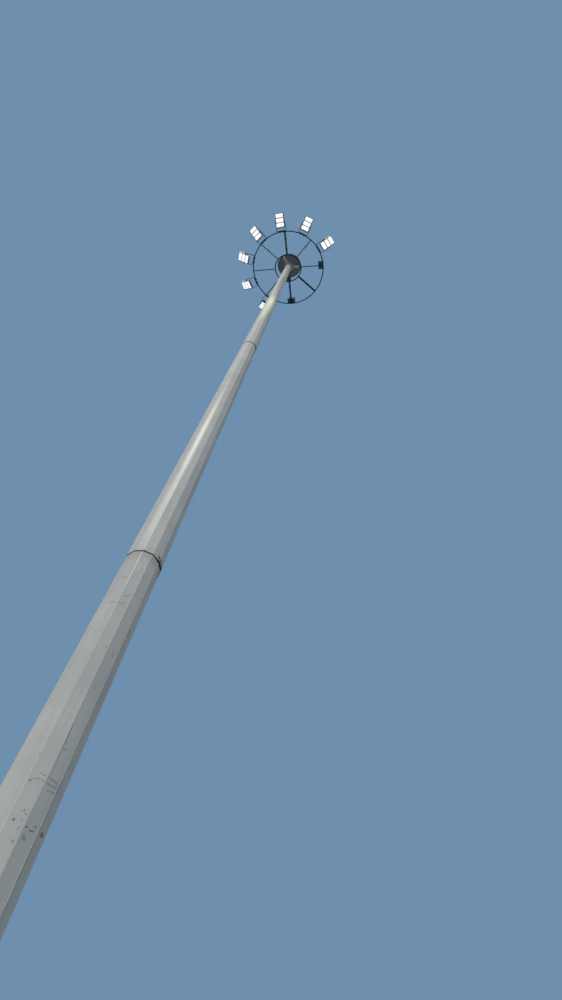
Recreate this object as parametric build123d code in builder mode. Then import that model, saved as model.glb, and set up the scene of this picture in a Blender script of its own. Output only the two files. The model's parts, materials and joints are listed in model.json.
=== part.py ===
from build123d import *
from math import cos, degrees, radians, sin, sqrt
import os

# High mast floodlight tower: a twelve-sided steel mast in three slip-jointed sections, a head frame with
# rope sheaves under a domed hood, and a round carriage with seven floodlights that is lowered on ropes.
# Millimetres, +Z up. The origin is the centre of the base flange's underside.

# Main heights and reach
ring_height = 30000
ring_radius = 1340
pivot_reach = 390
head_rise = 300
hood_rise = 500

# Mast sections, sized across the flats of the twelve-sided tube
sides = 12
base_across = 616
taper = 0.0134
lower_wall = 6
middle_wall = 5
upper_wall = 4
low_joint = 9480
high_joint = 19490
low_overlap = 850
high_overlap = 650
fit_gap = 0.3

# Base flange, its bolts and ribs
flange_diameter = 900
flange_thickness = 32
flange_bore = 420
bolt_circle = 800
bolt_hole = 38
bolt_count = 12
rib_height = 260
rib_reach = 110
rib_thickness = 12

# Service door in the lower section
door_bottom = 600
door_height = 1200
door_width = 260
door_frame_bar = 10
door_frame_depth = 34
door_frame_proud = 12
door_sheet = 4
door_lap = 6
lock_diameter = 30

# Ropes and sheaves
rope_count = 3
first_rope_azimuth = 66
rope_diameter = 8
rope_circle = 420
inner_rope_circle = 45
groove_radius = 52
sheave_radius = 62
sheave_width = 20
sheave_lift = 78
pin_diameter = 20
pin_head = 30
pin_head_thickness = 6
pin_gap = 0.15
rope_anchor_height = 420
anchor_bar = 20

# Head frame
sleeve_length = 320
sleeve_wall = 6
head_plate_radius = 168
head_plate_thickness = 12
rope_passage = 26
arm_plate_width = 110
arm_plate_end = 385
cheek_thickness = 8
cheek_side_gap = 3
cheek_start = 40
cheek_margin = 50
cheek_top_margin = 75
hood_tab_circle = 200
hood_tab_width = 44

# Hood and finial
hood_radius = 450
hood_dome = 190
hood_sheet = 3
hood_skirt = 30
finial_height = 900
finial_diameter = 22
finial_base_diameter = 90
finial_base_height = 40

# Carriage
ring_tube = 38
ring_wall = 3
mast_clearance = 158
inner_tube = 38
inner_wall = 3
spoke_tube = 32
spoke_wall = 2.6
spoke_count = 8
split_azimuths = [90, 270]
split_gap = 4
ear_thickness = 8
ear_height = 48
ear_length = 44
splice_length = 60
splice_thickness = 6
splice_inset = 212
splice_outset = 280
lug_thickness = 12
lug_depth = 44
lug_inset = 22
socket_diameter = 26
socket_height = 64
conduit_diameter = 34
conduit_wall = 2
conduit_azimuth = 225

# Boxes on the carriage
box_azimuths = [180, 270]
box_depth = 185
box_width = 280
box_height = 150
box_wall = 3
box_overhang = 5
box_foot = 60
lid_thickness = 3
lid_skirt = 18
gland_spread = 170
gland_pitch = 50
gland_diameter = 24
gland_length = 22
plug_box_azimuth = 270
plug_box_width = 155
plug_box_depth = 165
plug_box_height = 110
plug_box_corner = 12

# Floodlights: the first one's azimuth, the pitch, and the angle at which each face is aimed outwards
lamp_first_azimuth = -51
lamp_pitch = 34
aim_angles = [48, 45, 39, 35, 30, 33, 34]
lamp_length = 556
rail_height = 70
rail_thickness = 6
module_count = 3
module_length = 172
module_width = 316
module_pitch = 178
module_base = 14
fin_count = 12
fin_thickness = 3
fin_height = 38
lens_length = 156
lens_width = 286
lens_rise = 5
lens_corner = 16
strap_width = 34
strap_thickness = 5
driver_length = 210
driver_width = 250
driver_height = 92
driver_corner = 14
pivot_pin = 16
pivot_gap = 0.3

# Floodlight yokes
yoke_bar = 6
yoke_height = 50
yoke_side_gap = 6
yoke_bend = 14
clamp_wall = 6
clamp_width = 40
clamp_offset = 60

# Values that follow from the ones above
mast_top = ring_height + head_rise
half_flat = 180 / sides
lower_top = low_joint + low_overlap
middle_top = high_joint + high_overlap
inner_ring_radius = base_across / 2 / cos(radians(half_flat)) + mast_clearance + inner_tube / 2
sheave_height = mast_top + head_plate_thickness + sheave_lift
rope_bend = groove_radius + rope_diameter / 2
outer_sheave_circle = rope_circle - rope_bend
inner_sheave_circle = inner_rope_circle + rope_bend
cheek_spacing = sheave_width + 2 * cheek_side_gap
ear_top = ring_height - spoke_tube / 2 - fit_gap
hood_rim = ring_height + hood_rise
hood_sphere = (hood_radius**2 + hood_dome**2) / (2 * hood_dome)
hood_centre = hood_rim + hood_dome - hood_sphere
lamp_width = module_width + 2 * fit_gap + 2 * rail_thickness
pivot_radius = ring_radius + pivot_reach
os.makedirs("parts", exist_ok=True)


def save(piece, name):
    """Label a finished piece and write it as a file of its own."""
    piece.part.label = name
    export_step(piece.part, f"parts/{name}.step")


def radial_plane(azimuth):
    """Upright plane through the mast's axis: local x runs outwards, local y is height."""
    outwards = (cos(radians(azimuth)), sin(radians(azimuth)), 0)
    sideways = (sin(radians(azimuth)), -cos(radians(azimuth)), 0)
    return Plane(origin=(0, 0, 0), x_dir=outwards, z_dir=sideways)


def prism(across, low, high, mode=Mode.ADD):
    """Tapered twelve-sided block, with its size across the flats given at its low end."""
    with BuildSketch(Plane.XY.offset(low)) as foot:
        RegularPolygon(across / 2, sides, major_radius=False, rotation=half_flat)
    with BuildSketch(Plane.XY.offset(high)) as head:
        across_high = across - taper * (high - low)
        RegularPolygon(across_high / 2, sides, major_radius=False, rotation=half_flat)
    loft([foot.sketch, head.sketch], mode=mode)


def tube_section(across, wall, low, high):
    """Hollow tapered section of the mast."""
    prism(across, low, high)
    prism(across - 2 * wall, low, high, mode=Mode.SUBTRACT)


def across_at(height):
    """Size across the flats of the lower section's outside at a height."""
    return base_across - taper * height


# Sizes across the flats of the upper sections where each one's lower rim sits over the one below
middle_across = across_at(low_joint) + 2 * fit_gap + 2 * middle_wall
upper_across = middle_across - taper * (high_joint - low_joint) + 2 * fit_gap + 2 * upper_wall
top_across = upper_across - taper * (mast_top - high_joint)

# Base flange with its ring of bolt holes
with BuildPart() as base_flange:
    with BuildSketch():
        Circle(flange_diameter / 2)
        Circle(flange_bore / 2, mode=Mode.SUBTRACT)
        with PolarLocations(bolt_circle / 2, bolt_count, start_angle=180 / bolt_count):
            Circle(bolt_hole / 2, mode=Mode.SUBTRACT)
    extrude(amount=flange_thickness)
save(base_flange, "base_flange")

# Ribs between the flange and the flats of the mast
with BuildPart() as base_ribs:
    for index in range(bolt_count):
        with BuildSketch(radial_plane(index * 360 / bolt_count)) as rib:
            with BuildLine():
                foot = base_across / 2 - rib_thickness
                Polyline(
                    (foot, flange_thickness),
                    (base_across / 2 + rib_reach, flange_thickness),
                    (base_across / 2 + rib_reach, flange_thickness + 2 * rib_thickness),
                    (base_across / 2 + rib_thickness, flange_thickness + rib_height),
                    (foot, flange_thickness + rib_height),
                    close=True,
                )
            make_face()
        extrude(rib.sketch, amount=rib_thickness / 2, both=True)
    prism(base_across + 2 * fit_gap, 0, 2 * rib_height, mode=Mode.SUBTRACT)
save(base_ribs, "base_ribs")


def door_window(width, height, mode):
    """Straight cut or core through the mast's front wall, as wide and high as given."""
    middle = door_bottom + door_height / 2
    with BuildSketch(Plane.XZ.offset(base_across / 4)) as window:
        with Locations((0, middle)):
            Rectangle(width, height)
    extrude(window.sketch, amount=base_across, mode=mode)


# Three tapered sections, each slipped over the one below
frame_width = door_width + 2 * door_frame_bar
frame_height = door_height + 2 * door_frame_bar
with BuildPart() as lower_section:
    tube_section(across_at(flange_thickness), lower_wall, flange_thickness, lower_top)
    door_window(frame_width + 2 * fit_gap, frame_height + 2 * fit_gap, Mode.SUBTRACT)
save(lower_section, "lower_section")

with BuildPart() as middle_section:
    tube_section(middle_across, middle_wall, low_joint, middle_top)
save(middle_section, "middle_section")

with BuildPart() as upper_section:
    tube_section(upper_across, upper_wall, high_joint, mast_top)
save(upper_section, "upper_section")

# Door frame, let into the wall, and the door that laps over it
door_zone = 2 * door_bottom + door_height
with BuildPart() as door_frame:
    prism(base_across + 2 * door_frame_proud, 0, door_zone)
    prism(base_across + 2 * door_frame_proud - 2 * door_frame_depth, 0, door_zone, mode=Mode.SUBTRACT)
    door_window(frame_width, frame_height, Mode.INTERSECT)
    door_window(door_width, door_height, Mode.SUBTRACT)
save(door_frame, "door_frame")

door_face = base_across / 2 + door_frame_proud + fit_gap
with BuildPart() as service_door:
    prism(2 * (door_face + door_sheet), 0, door_zone)
    prism(2 * door_face, 0, door_zone, mode=Mode.SUBTRACT)
    door_window(frame_width + 2 * door_lap, frame_height + 2 * door_lap, Mode.INTERSECT)
    with BuildSketch(Plane.XZ.offset(door_face - taper * door_bottom)):
        with Locations((0, door_bottom + door_height / 6), (0, door_bottom + 5 * door_height / 6)):
            Circle(lock_diameter / 2)
    extrude(amount=3 * door_sheet)
save(service_door, "service_door")


def rope_azimuths():
    """Directions of the rope arms."""
    return [first_rope_azimuth + index * 360 / rope_count for index in range(rope_count)]


# Head frame: a sleeve over the mast's top, a plate with an arm for each rope, and its cheek plates
plate_top = mast_top + head_plate_thickness
cheek_top = sheave_height + cheek_top_margin
cheek_end = outer_sheave_circle + cheek_margin
tab_top = hood_rim + hood_dome
with BuildPart() as head_frame:
    for azimuth in rope_azimuths():
        with BuildSketch(radial_plane(azimuth)) as cheek:
            with BuildLine():
                Polyline(
                    (cheek_start, plate_top),
                    (arm_plate_end, plate_top),
                    (cheek_end, sheave_height - cheek_margin),
                    (cheek_end, sheave_height + cheek_margin / 2),
                    (cheek_end - cheek_margin, cheek_top),
                    (hood_tab_circle + hood_tab_width / 2, cheek_top),
                    (hood_tab_circle + hood_tab_width / 2, tab_top),
                    (hood_tab_circle - hood_tab_width / 2, tab_top),
                    (hood_tab_circle - hood_tab_width / 2, cheek_top),
                    (cheek_start, cheek_top),
                    close=True,
                )
            make_face()
            with Locations((inner_sheave_circle, sheave_height), (outer_sheave_circle, sheave_height)):
                Circle(pin_diameter / 2 + pin_gap, mode=Mode.SUBTRACT)
        extrude(cheek.sketch, amount=cheek_spacing / 2 + cheek_thickness, both=True)
        with BuildSketch(radial_plane(azimuth)) as slot:
            with Locations((hood_radius / 2, cheek_top)):
                Rectangle(hood_radius, 2 * hood_radius)
        extrude(slot.sketch, amount=cheek_spacing / 2, both=True, mode=Mode.SUBTRACT)
    with Locations((0, 0, hood_centre)):
        Sphere(hood_sphere - hood_sheet - fit_gap, mode=Mode.INTERSECT)
    with BuildSketch(Plane.XY.offset(mast_top)) as plate:
        Circle(head_plate_radius)
        with PolarLocations(arm_plate_end / 2, rope_count, start_angle=first_rope_azimuth):
            Rectangle(arm_plate_end, arm_plate_width)
        Circle(inner_rope_circle + rope_diameter / 2 + rope_passage, mode=Mode.SUBTRACT)
    extrude(plate.sketch, amount=head_plate_thickness)
    sleeve_foot = mast_top - sleeve_length
    sleeve_bore = top_across + taper * sleeve_length + 2 * fit_gap
    prism(sleeve_bore + 2 * sleeve_wall, sleeve_foot, mast_top)
    with BuildSketch(Plane.XY.offset(sleeve_foot)) as bore_foot:
        RegularPolygon(sleeve_bore / 2, sides, major_radius=False, rotation=half_flat)
    with BuildSketch(Plane.XY.offset(mast_top)) as bore_head:
        bore_top = sleeve_bore - taper * sleeve_length
        RegularPolygon(bore_top / 2, sides, major_radius=False, rotation=half_flat)
    loft([bore_foot.sketch, bore_head.sketch], mode=Mode.SUBTRACT)
save(head_frame, "head_frame")

# Sheaves, two to an arm, with a round groove for the rope
with BuildPart() as rope_sheaves:
    for azimuth in rope_azimuths():
        with BuildSketch(radial_plane(azimuth)) as disc:
            with Locations((inner_sheave_circle, sheave_height), (outer_sheave_circle, sheave_height)):
                Circle(sheave_radius)
                Circle(pin_diameter / 2 + pin_gap, mode=Mode.SUBTRACT)
        extrude(disc.sketch, amount=sheave_width / 2, both=True)
        for circle in (inner_sheave_circle, outer_sheave_circle):
            axle = Plane(radial_plane(azimuth).location * Location((circle, sheave_height, 0)))
            with BuildSketch(Plane(origin=axle.origin, x_dir=axle.x_dir, z_dir=axle.y_dir)) as groove:
                with Locations((rope_bend, 0)):
                    Circle(rope_diameter / 2 + fit_gap)
                with Locations((rope_bend + groove_radius / 2, 0)):
                    Rectangle(groove_radius, rope_diameter + 2 * fit_gap)
            revolve(groove.sketch, axis=Axis(axle.origin, axle.z_dir), mode=Mode.SUBTRACT)
save(rope_sheaves, "rope_sheaves")

with BuildPart() as sheave_pins:
    for azimuth in rope_azimuths():
        across = radial_plane(azimuth)
        head_face = cheek_spacing / 2 + cheek_thickness
        with BuildSketch(across) as shank:
            with Locations((inner_sheave_circle, sheave_height), (outer_sheave_circle, sheave_height)):
                Circle(pin_diameter / 2)
        extrude(shank.sketch, amount=head_face + pin_head_thickness, both=True)
        for side in (across.offset(head_face), across.offset(-head_face - pin_head_thickness)):
            with BuildSketch(side) as head:
                with Locations((inner_sheave_circle, sheave_height), (outer_sheave_circle, sheave_height)):
                    Circle(pin_head / 2)
            extrude(head.sketch, amount=pin_head_thickness)
save(sheave_pins, "sheave_pins")

# Domed hood with a turned-down skirt
with BuildPart() as hood:
    with BuildSketch(Plane.XZ) as profile:
        with BuildLine():
            shoulder = (hood_radius, hood_rim)
            inner_radius = hood_radius - hood_sheet
            inner_rise = sqrt((hood_sphere - hood_sheet) ** 2 - inner_radius**2)
            RadiusArc((0, hood_rim + hood_dome), shoulder, hood_sphere)
            Line(shoulder, (hood_radius, hood_rim - hood_skirt))
            Line((hood_radius, hood_rim - hood_skirt), (inner_radius, hood_rim - hood_skirt))
            Line((inner_radius, hood_rim - hood_skirt), (inner_radius, hood_centre + inner_rise))
            apex = (0, hood_rim + hood_dome - hood_sheet)
            RadiusArc(apex, (inner_radius, hood_centre + inner_rise), hood_sphere - hood_sheet)
            Line(apex, (0, hood_rim + hood_dome))
        make_face()
    revolve(profile.sketch, axis=Axis.Z)
save(hood, "hood")

# Lightning finial on the hood's crown
with BuildPart() as finial:
    with BuildSketch(Plane.XZ) as profile:
        with BuildLine():
            crown = hood_rim + hood_dome
            Polyline(
                (0, crown - finial_base_height / 2),
                (finial_base_diameter / 2, crown - finial_base_height / 2),
                (finial_base_diameter / 2, crown + finial_base_height / 2),
                (finial_diameter / 2, crown + finial_base_height),
                (finial_diameter / 2, crown + finial_height - 4 * finial_diameter),
                (0, crown + finial_height),
                close=True,
            )
        make_face()
    revolve(profile.sketch, axis=Axis.Z)
    with Locations((0, 0, hood_centre)):
        Sphere(hood_sphere + fit_gap, mode=Mode.SUBTRACT)
save(finial, "finial")

# Ropes: fixed runs from each outer sheave over the arm and down inside the mast to the anchor
with BuildPart() as rope_runs:
    for azimuth in rope_azimuths():
        with BuildLine(radial_plane(azimuth)) as route:
            crest = sheave_height + rope_bend
            over_outer = RadiusArc((rope_circle, sheave_height), (outer_sheave_circle, crest), -rope_bend)
            across_arm = Line(over_outer @ 1, (inner_sheave_circle, crest))
            over_inner = RadiusArc(across_arm @ 1, (inner_rope_circle, sheave_height), -rope_bend)
            down = Line(over_inner @ 1, (inner_rope_circle, rope_anchor_height + anchor_bar))
        with BuildSketch(Plane(origin=route.line @ 0, z_dir=(0, 0, 1))) as strand:
            Circle(rope_diameter / 2)
        sweep(strand.sketch, path=route.line)
save(rope_runs, "rope_runs")

# Bar across the inside of the mast that holds the ropes' lower ends
with BuildPart() as rope_anchor:
    inner_flat = across_at(rope_anchor_height + anchor_bar) / 2 - lower_wall - fit_gap
    with BuildSketch(Plane.XY.offset(rope_anchor_height)):
        Rectangle(2 * inner_flat, 3 * rope_diameter)
        Circle(inner_rope_circle + 2 * rope_diameter)
    extrude(amount=anchor_bar)
save(rope_anchor, "rope_anchor")

# The free lengths that hold the carriage, one below each outer sheave
lug_top = ring_height + lug_depth / 2
socket_top = lug_top + socket_height
with BuildPart() as hoist_ropes:
    with BuildSketch(Plane.XY.offset(socket_top)):
        with PolarLocations(rope_circle, rope_count, start_angle=first_rope_azimuth):
            Circle(rope_diameter / 2)
    extrude(amount=sheave_height - socket_top)
save(hoist_ropes, "hoist_ropes")


def half_ring(radius, tube, wall, side):
    """Half of a tubular ring with a bolting ear under each end; side is 1 for +X and -1 for -X."""
    with BuildSketch(radial_plane(-90 * side)) as section:
        with Locations((radius, ring_height)):
            Circle(tube / 2)
            Circle(tube / 2 - wall, mode=Mode.SUBTRACT)
    revolve(section.sketch, axis=Axis.Z, revolution_arc=180)
    with Locations((0, 0, ring_height)):
        Box(split_gap, 3 * radius, 2 * tube, mode=Mode.SUBTRACT)
    ear_x = side * (split_gap + ear_thickness) / 2
    ear_z = ear_top - ear_height / 2
    with Locations((ear_x, radius, ear_z), (ear_x, -radius, ear_z)):
        Box(ear_thickness, ear_length, ear_height)


halves = {"east": 1, "west": -1}
for half, side in halves.items():
    with BuildPart() as outer_ring:
        half_ring(ring_radius, ring_tube, ring_wall, side)
    save(outer_ring, f"outer_ring_{half}")
    with BuildPart() as inner_ring:
        half_ring(inner_ring_radius, inner_tube, inner_wall, side)
    save(inner_ring, f"inner_ring_{half}")


def spoke(azimuth, offset, diameter, wall):
    """Tube between the two rings, its ends coped to fit them, moved sideways by the offset."""
    across = radial_plane(azimuth)
    start = across.location * Location((inner_ring_radius, ring_height, offset))
    with BuildSketch(Plane(origin=start.position, x_dir=(0, 0, 1), z_dir=across.x_dir)) as section:
        Circle(diameter / 2)
        Circle(diameter / 2 - wall, mode=Mode.SUBTRACT)
    with BuildPart(mode=Mode.PRIVATE) as tube:
        extrude(section.sketch, amount=ring_radius - inner_ring_radius)
        with Locations((0, 0, ring_height)):
            Torus(ring_radius, ring_tube / 2 + fit_gap, mode=Mode.SUBTRACT)
            Torus(inner_ring_radius, inner_tube / 2 + fit_gap, mode=Mode.SUBTRACT)
    return tube.part


# Spokes: single ones, and one on each side of each split
split_offset = (split_gap + spoke_tube) / 2
with BuildPart() as spokes:
    for index in range(spoke_count):
        azimuth = index * 360 / spoke_count
        if azimuth in split_azimuths:
            add(spoke(azimuth, split_offset, spoke_tube, spoke_wall))
            add(spoke(azimuth, -split_offset, spoke_tube, spoke_wall))
        else:
            add(spoke(azimuth, 0, spoke_tube, spoke_wall))
save(spokes, "spokes")

# Splice plates above and below each pair of split spokes
splice_width = split_gap + 2 * spoke_tube
with BuildPart() as splice_plates:
    top_face = ring_height + spoke_tube / 2 + fit_gap
    bottom_face = ring_height - spoke_tube / 2 - fit_gap - splice_thickness
    for level in (top_face, bottom_face):
        with BuildSketch(Plane.XY.offset(level)) as plates:
            for circle in (inner_ring_radius + splice_inset, ring_radius - splice_outset):
                with Locations((0, circle), (0, -circle)):
                    Rectangle(splice_width, splice_length)
        extrude(plates.sketch, amount=splice_thickness)
save(splice_plates, "splice_plates")

with BuildPart() as cable_conduit:
    add(spoke(conduit_azimuth, (spoke_tube + conduit_diameter) / 2 + fit_gap, conduit_diameter, conduit_wall))
save(cable_conduit, "cable_conduit")

# Lugs on the inner ring, each with the socket that ends a hoist rope
with BuildPart() as rope_lugs:
    for azimuth in rope_azimuths():
        lug_end = rope_circle - lug_inset
        with BuildSketch(radial_plane(azimuth)) as lug:
            with Locations(((lug_end + inner_ring_radius) / 2, ring_height)):
                Rectangle(inner_ring_radius - lug_end, lug_depth)
            with Locations((inner_ring_radius, ring_height)):
                Circle(inner_tube / 2 + fit_gap, mode=Mode.SUBTRACT)
        extrude(lug.sketch, amount=lug_thickness / 2, both=True)
    with PolarLocations(rope_circle, rope_count, start_angle=first_rope_azimuth):
        with Locations((0, 0, lug_top + socket_height / 2)):
            Cone(socket_diameter / 2, rope_diameter, socket_height)
save(rope_lugs, "rope_lugs")


def deck(azimuth, height):
    """Level plane at a height: local x runs outwards from the mast's axis, local z is up."""
    outwards = (cos(radians(azimuth)), sin(radians(azimuth)), 0)
    return Plane(origin=(0, 0, height), x_dir=outwards, z_dir=(0, 0, 1))


# Junction boxes on the carriage, each with a foot on its spoke and glands underneath
box_floor = ring_height + ring_tube / 2 + fit_gap
box_circle = ring_radius + box_overhang - box_depth / 2
spoke_top = ring_height + spoke_tube / 2 + fit_gap


def box_block(azimuth, low, high, margin, mode):
    """Upright block on a junction box's outline, larger all round by the margin."""
    with BuildSketch(deck(azimuth, low)) as outline:
        with Locations((box_circle, 0)):
            Rectangle(box_depth + 2 * margin, box_width + 2 * margin)
    extrude(outline.sketch, amount=high - low, mode=mode)


with BuildPart() as junction_boxes:
    for azimuth in box_azimuths:
        box_block(azimuth, box_floor, box_floor + box_height, 0, Mode.ADD)
        box_block(azimuth, box_floor + box_wall, box_floor + box_height, -box_wall, Mode.SUBTRACT)
        with BuildSketch(deck(azimuth, spoke_top)) as foot:
            with Locations((box_circle - box_foot / 2, 0)):
                Rectangle(box_foot, box_foot)
        extrude(foot.sketch, amount=box_floor - spoke_top)
        with BuildSketch(deck(azimuth, box_floor - gland_length)) as glands:
            with Locations((box_circle - box_foot, 0)):
                with GridLocations(1, gland_spread, 1, 2):
                    with GridLocations(1, gland_pitch, 1, 2):
                        Circle(gland_diameter / 2)
        extrude(glands.sketch, amount=gland_length)
save(junction_boxes, "junction_boxes")

with BuildPart() as box_lids:
    for azimuth in box_azimuths:
        rim = box_floor + box_height
        box_block(azimuth, rim - lid_skirt, rim + lid_thickness, lid_thickness + fit_gap, Mode.ADD)
        box_block(azimuth, rim - lid_skirt, rim, fit_gap, Mode.SUBTRACT)
save(box_lids, "box_lids")

# Plug box hung under the ears of the inner ring
with BuildPart() as plug_box:
    plug_top = ear_top - ear_height - fit_gap
    with BuildSketch(deck(plug_box_azimuth, plug_top - plug_box_height)) as outline:
        with Locations((inner_ring_radius - plug_box_depth / 2, 0)):
            RectangleRounded(plug_box_depth, plug_box_width, plug_box_corner)
    extrude(outline.sketch, amount=plug_box_height)
save(plug_box, "plug_box")


def floodlight(face):
    """Lamp frame: two rails, end bars, straps, the driver box on its back and the pivot pins."""
    side_view = Plane(origin=face.origin, x_dir=face.x_dir, z_dir=face.y_dir)
    inner_width = lamp_width - 2 * rail_thickness
    for rail_side in (side_view.offset(inner_width / 2), side_view.offset(-lamp_width / 2)):
        with BuildSketch(rail_side) as rail:
            RectangleRounded(lamp_length, rail_height, rail_height / 4)
        extrude(rail.sketch, amount=rail_thickness)
    with BuildSketch(face.offset(-rail_height / 4)) as ends:
        with GridLocations(lamp_length - 2 * rail_thickness, 1, 2, 1):
            Rectangle(rail_thickness, inner_width)
    extrude(ends.sketch, amount=rail_height / 2)
    with BuildSketch(face.offset(rail_height / 2)) as straps:
        with GridLocations(driver_length - strap_width, 1, 2, 1):
            Rectangle(strap_width, lamp_width)
    extrude(straps.sketch, amount=strap_thickness)
    with BuildSketch(face.offset(rail_height / 2 + strap_thickness)) as driver:
        RectangleRounded(driver_length, driver_width, driver_corner)
    extrude(driver.sketch, amount=driver_height)
    pin_start = lamp_width / 2
    pin_length = yoke_side_gap + yoke_bar + fit_gap
    for pin_side in (side_view.offset(pin_start), side_view.offset(-pin_start - pin_length)):
        with BuildSketch(pin_side) as pin:
            Circle(pivot_pin / 2)
        extrude(pin.sketch, amount=pin_length)
    nut_start = pin_start + pin_length
    for nut_side in (side_view.offset(nut_start), side_view.offset(-nut_start - pivot_pin / 2)):
        with BuildSketch(nut_side) as nut:
            RegularPolygon(pivot_pin, 6)
        extrude(nut.sketch, amount=pivot_pin / 2)


def led_module(face, shift):
    """Finned light module with a raised lens field, moved along the lamp by the shift."""
    back_of_base = module_base - rail_height / 2
    with BuildSketch(face.offset(-rail_height / 2)) as base:
        with Locations((shift, 0)):
            Rectangle(module_length, module_width)
    extrude(base.sketch, amount=module_base)
    with BuildSketch(face.offset(back_of_base)) as fins:
        with Locations((shift, 0)):
            fin_pitch = (module_width - fin_thickness) / (fin_count - 1)
            with GridLocations(1, fin_pitch, 1, fin_count):
                Rectangle(module_length, fin_thickness)
    extrude(fins.sketch, amount=fin_height)
    with BuildSketch(face.offset(-rail_height / 2 - lens_rise)) as lens:
        with Locations((shift, 0)):
            RectangleRounded(lens_length, lens_width, lens_corner)
    extrude(lens.sketch, amount=lens_rise)


def yoke(azimuth):
    """Bent flat bar round a lamp, clamped to the outer ring with two pipe straps."""
    inner_half = lamp_width / 2 + yoke_side_gap
    base_face = ring_radius + ring_tube / 2 + fit_gap
    arm_reach = pivot_radius + yoke_height / 2 - base_face
    with BuildSketch(deck(azimuth, ring_height - yoke_height / 2)) as bar:
        with Locations((base_face + arm_reach / 2, 0)):
            Rectangle(arm_reach, 2 * (inner_half + yoke_bar))
        fillet(bar.vertices().group_by(Axis.X)[0], yoke_bend)
        with Locations((base_face + yoke_bar + arm_reach / 2, 0)):
            Rectangle(arm_reach, 2 * inner_half, mode=Mode.SUBTRACT)
    extrude(bar.sketch, amount=yoke_height)
    with BuildSketch(radial_plane(azimuth)) as side_outline:
        with Locations((base_face + arm_reach / 2 - yoke_height / 4, ring_height)):
            Rectangle(arm_reach - yoke_height / 2, yoke_height)
        with Locations((pivot_radius, ring_height)):
            Circle(yoke_height / 2)
            Circle(pivot_pin / 2 + pivot_gap, mode=Mode.SUBTRACT)
    extrude(side_outline.sketch, amount=2 * inner_half, both=True, mode=Mode.INTERSECT)
    turn = degrees(clamp_offset / ring_radius)
    for clamp_azimuth in (azimuth - turn, azimuth + turn):
        with BuildSketch(radial_plane(clamp_azimuth)) as clamp:
            with Locations((ring_radius, ring_height)):
                Circle(ring_tube / 2 + 2 * fit_gap + clamp_wall)
                Circle(ring_tube / 2 + 2 * fit_gap, mode=Mode.SUBTRACT)
        extrude(clamp.sketch, amount=clamp_width / 2, both=True)


# Floodlights on their yokes, each aimed at its own angle
for index, aim in enumerate(aim_angles):
    azimuth = lamp_first_azimuth + index * lamp_pitch
    number = index + 1
    across = radial_plane(azimuth)
    pivot = (across.location * Location((pivot_radius, ring_height, 0))).position
    face_x = across.x_dir * cos(radians(aim)) + Vector(0, 0, sin(radians(aim)))
    face_z = across.x_dir * -sin(radians(aim)) + Vector(0, 0, cos(radians(aim)))
    face = Plane(origin=pivot, x_dir=face_x, z_dir=face_z)
    with BuildPart() as yoke_piece:
        yoke(azimuth)
    save(yoke_piece, f"yoke_{number}")
    with BuildPart() as lamp:
        floodlight(face)
    save(lamp, f"floodlight_{number}")
    with BuildPart() as modules:
        for place in range(module_count):
            led_module(face, (place - (module_count - 1) / 2) * module_pitch)
    save(modules, f"led_modules_{number}")
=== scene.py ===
import json
from math import cos, pi, radians, sin

import bmesh
import bpy
import numpy as np
from mathutils import Matrix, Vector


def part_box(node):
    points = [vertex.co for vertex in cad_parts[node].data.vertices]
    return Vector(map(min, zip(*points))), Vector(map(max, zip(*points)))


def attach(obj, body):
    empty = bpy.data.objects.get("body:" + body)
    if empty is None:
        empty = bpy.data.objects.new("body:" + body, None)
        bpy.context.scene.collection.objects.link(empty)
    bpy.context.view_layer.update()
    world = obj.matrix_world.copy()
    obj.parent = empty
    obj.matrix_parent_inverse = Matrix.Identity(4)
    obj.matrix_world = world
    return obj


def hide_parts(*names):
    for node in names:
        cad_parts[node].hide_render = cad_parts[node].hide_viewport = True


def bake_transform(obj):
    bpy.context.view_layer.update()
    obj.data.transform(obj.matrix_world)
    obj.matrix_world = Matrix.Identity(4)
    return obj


# High mast floodlight tower: finishes of the mast, head and carriage, and the small pieces that ride on
# them. Metres, +Z up, origin under the base flange.

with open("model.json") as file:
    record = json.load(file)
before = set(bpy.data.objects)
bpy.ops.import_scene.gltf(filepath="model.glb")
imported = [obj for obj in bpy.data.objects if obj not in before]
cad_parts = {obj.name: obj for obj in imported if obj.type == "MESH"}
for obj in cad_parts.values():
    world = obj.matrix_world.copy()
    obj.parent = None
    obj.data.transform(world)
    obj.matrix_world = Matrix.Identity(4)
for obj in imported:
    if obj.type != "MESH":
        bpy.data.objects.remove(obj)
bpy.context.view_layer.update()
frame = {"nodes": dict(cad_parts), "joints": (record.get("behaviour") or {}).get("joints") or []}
lamp_joints = [joint for joint in frame["joints"] if joint["child"].startswith("lamp")]


def foot(node):
    """Height of a node's lower end, to a tenth of a millimetre."""
    return round(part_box(node)[0].z, 4)


def top(node):
    """Height of a node's upper end, to a tenth of a millimetre."""
    return round(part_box(node)[1].z, 4)


# Sizes and places that the small pieces line up with. Azimuths are in degrees from +X.

# Mast: a twelve-sided tube sized across its flats, in three sections, with a step out at each slip joint
SIDES = 12
HALF_FLAT = pi / SIDES
BASE_ACROSS = 0.616
TAPER = 0.0134
SECTION_STEPS = (0.0106, 0.0086)
LOW_JOINT, HIGH_JOINT, MAST_TOP = foot("middle_section"), foot("upper_section"), top("upper_section")
SEAM_AZIMUTHS, SEAM_RADIUS, SEAM_SINK, SEAM_MARGIN, SEAM_POINTS = (165, 345), 0.0022, 0.001, 0.004, 400
# Dark bands under the slip joints, standing in for the shade in the joint gaps: painted shade
SHADOW_BAND_DEPTHS, SHADOW_BAND_PROUD, SHADOW_BAND_SINK = (0.014, 0.024), 0.0012, 0.002
SHADOW_BAND_OPENS, SHADOW_BAND_CLOSES, SHADOW_BAND_DROOP = (148, 160), (200, 232), 1.9

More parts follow.
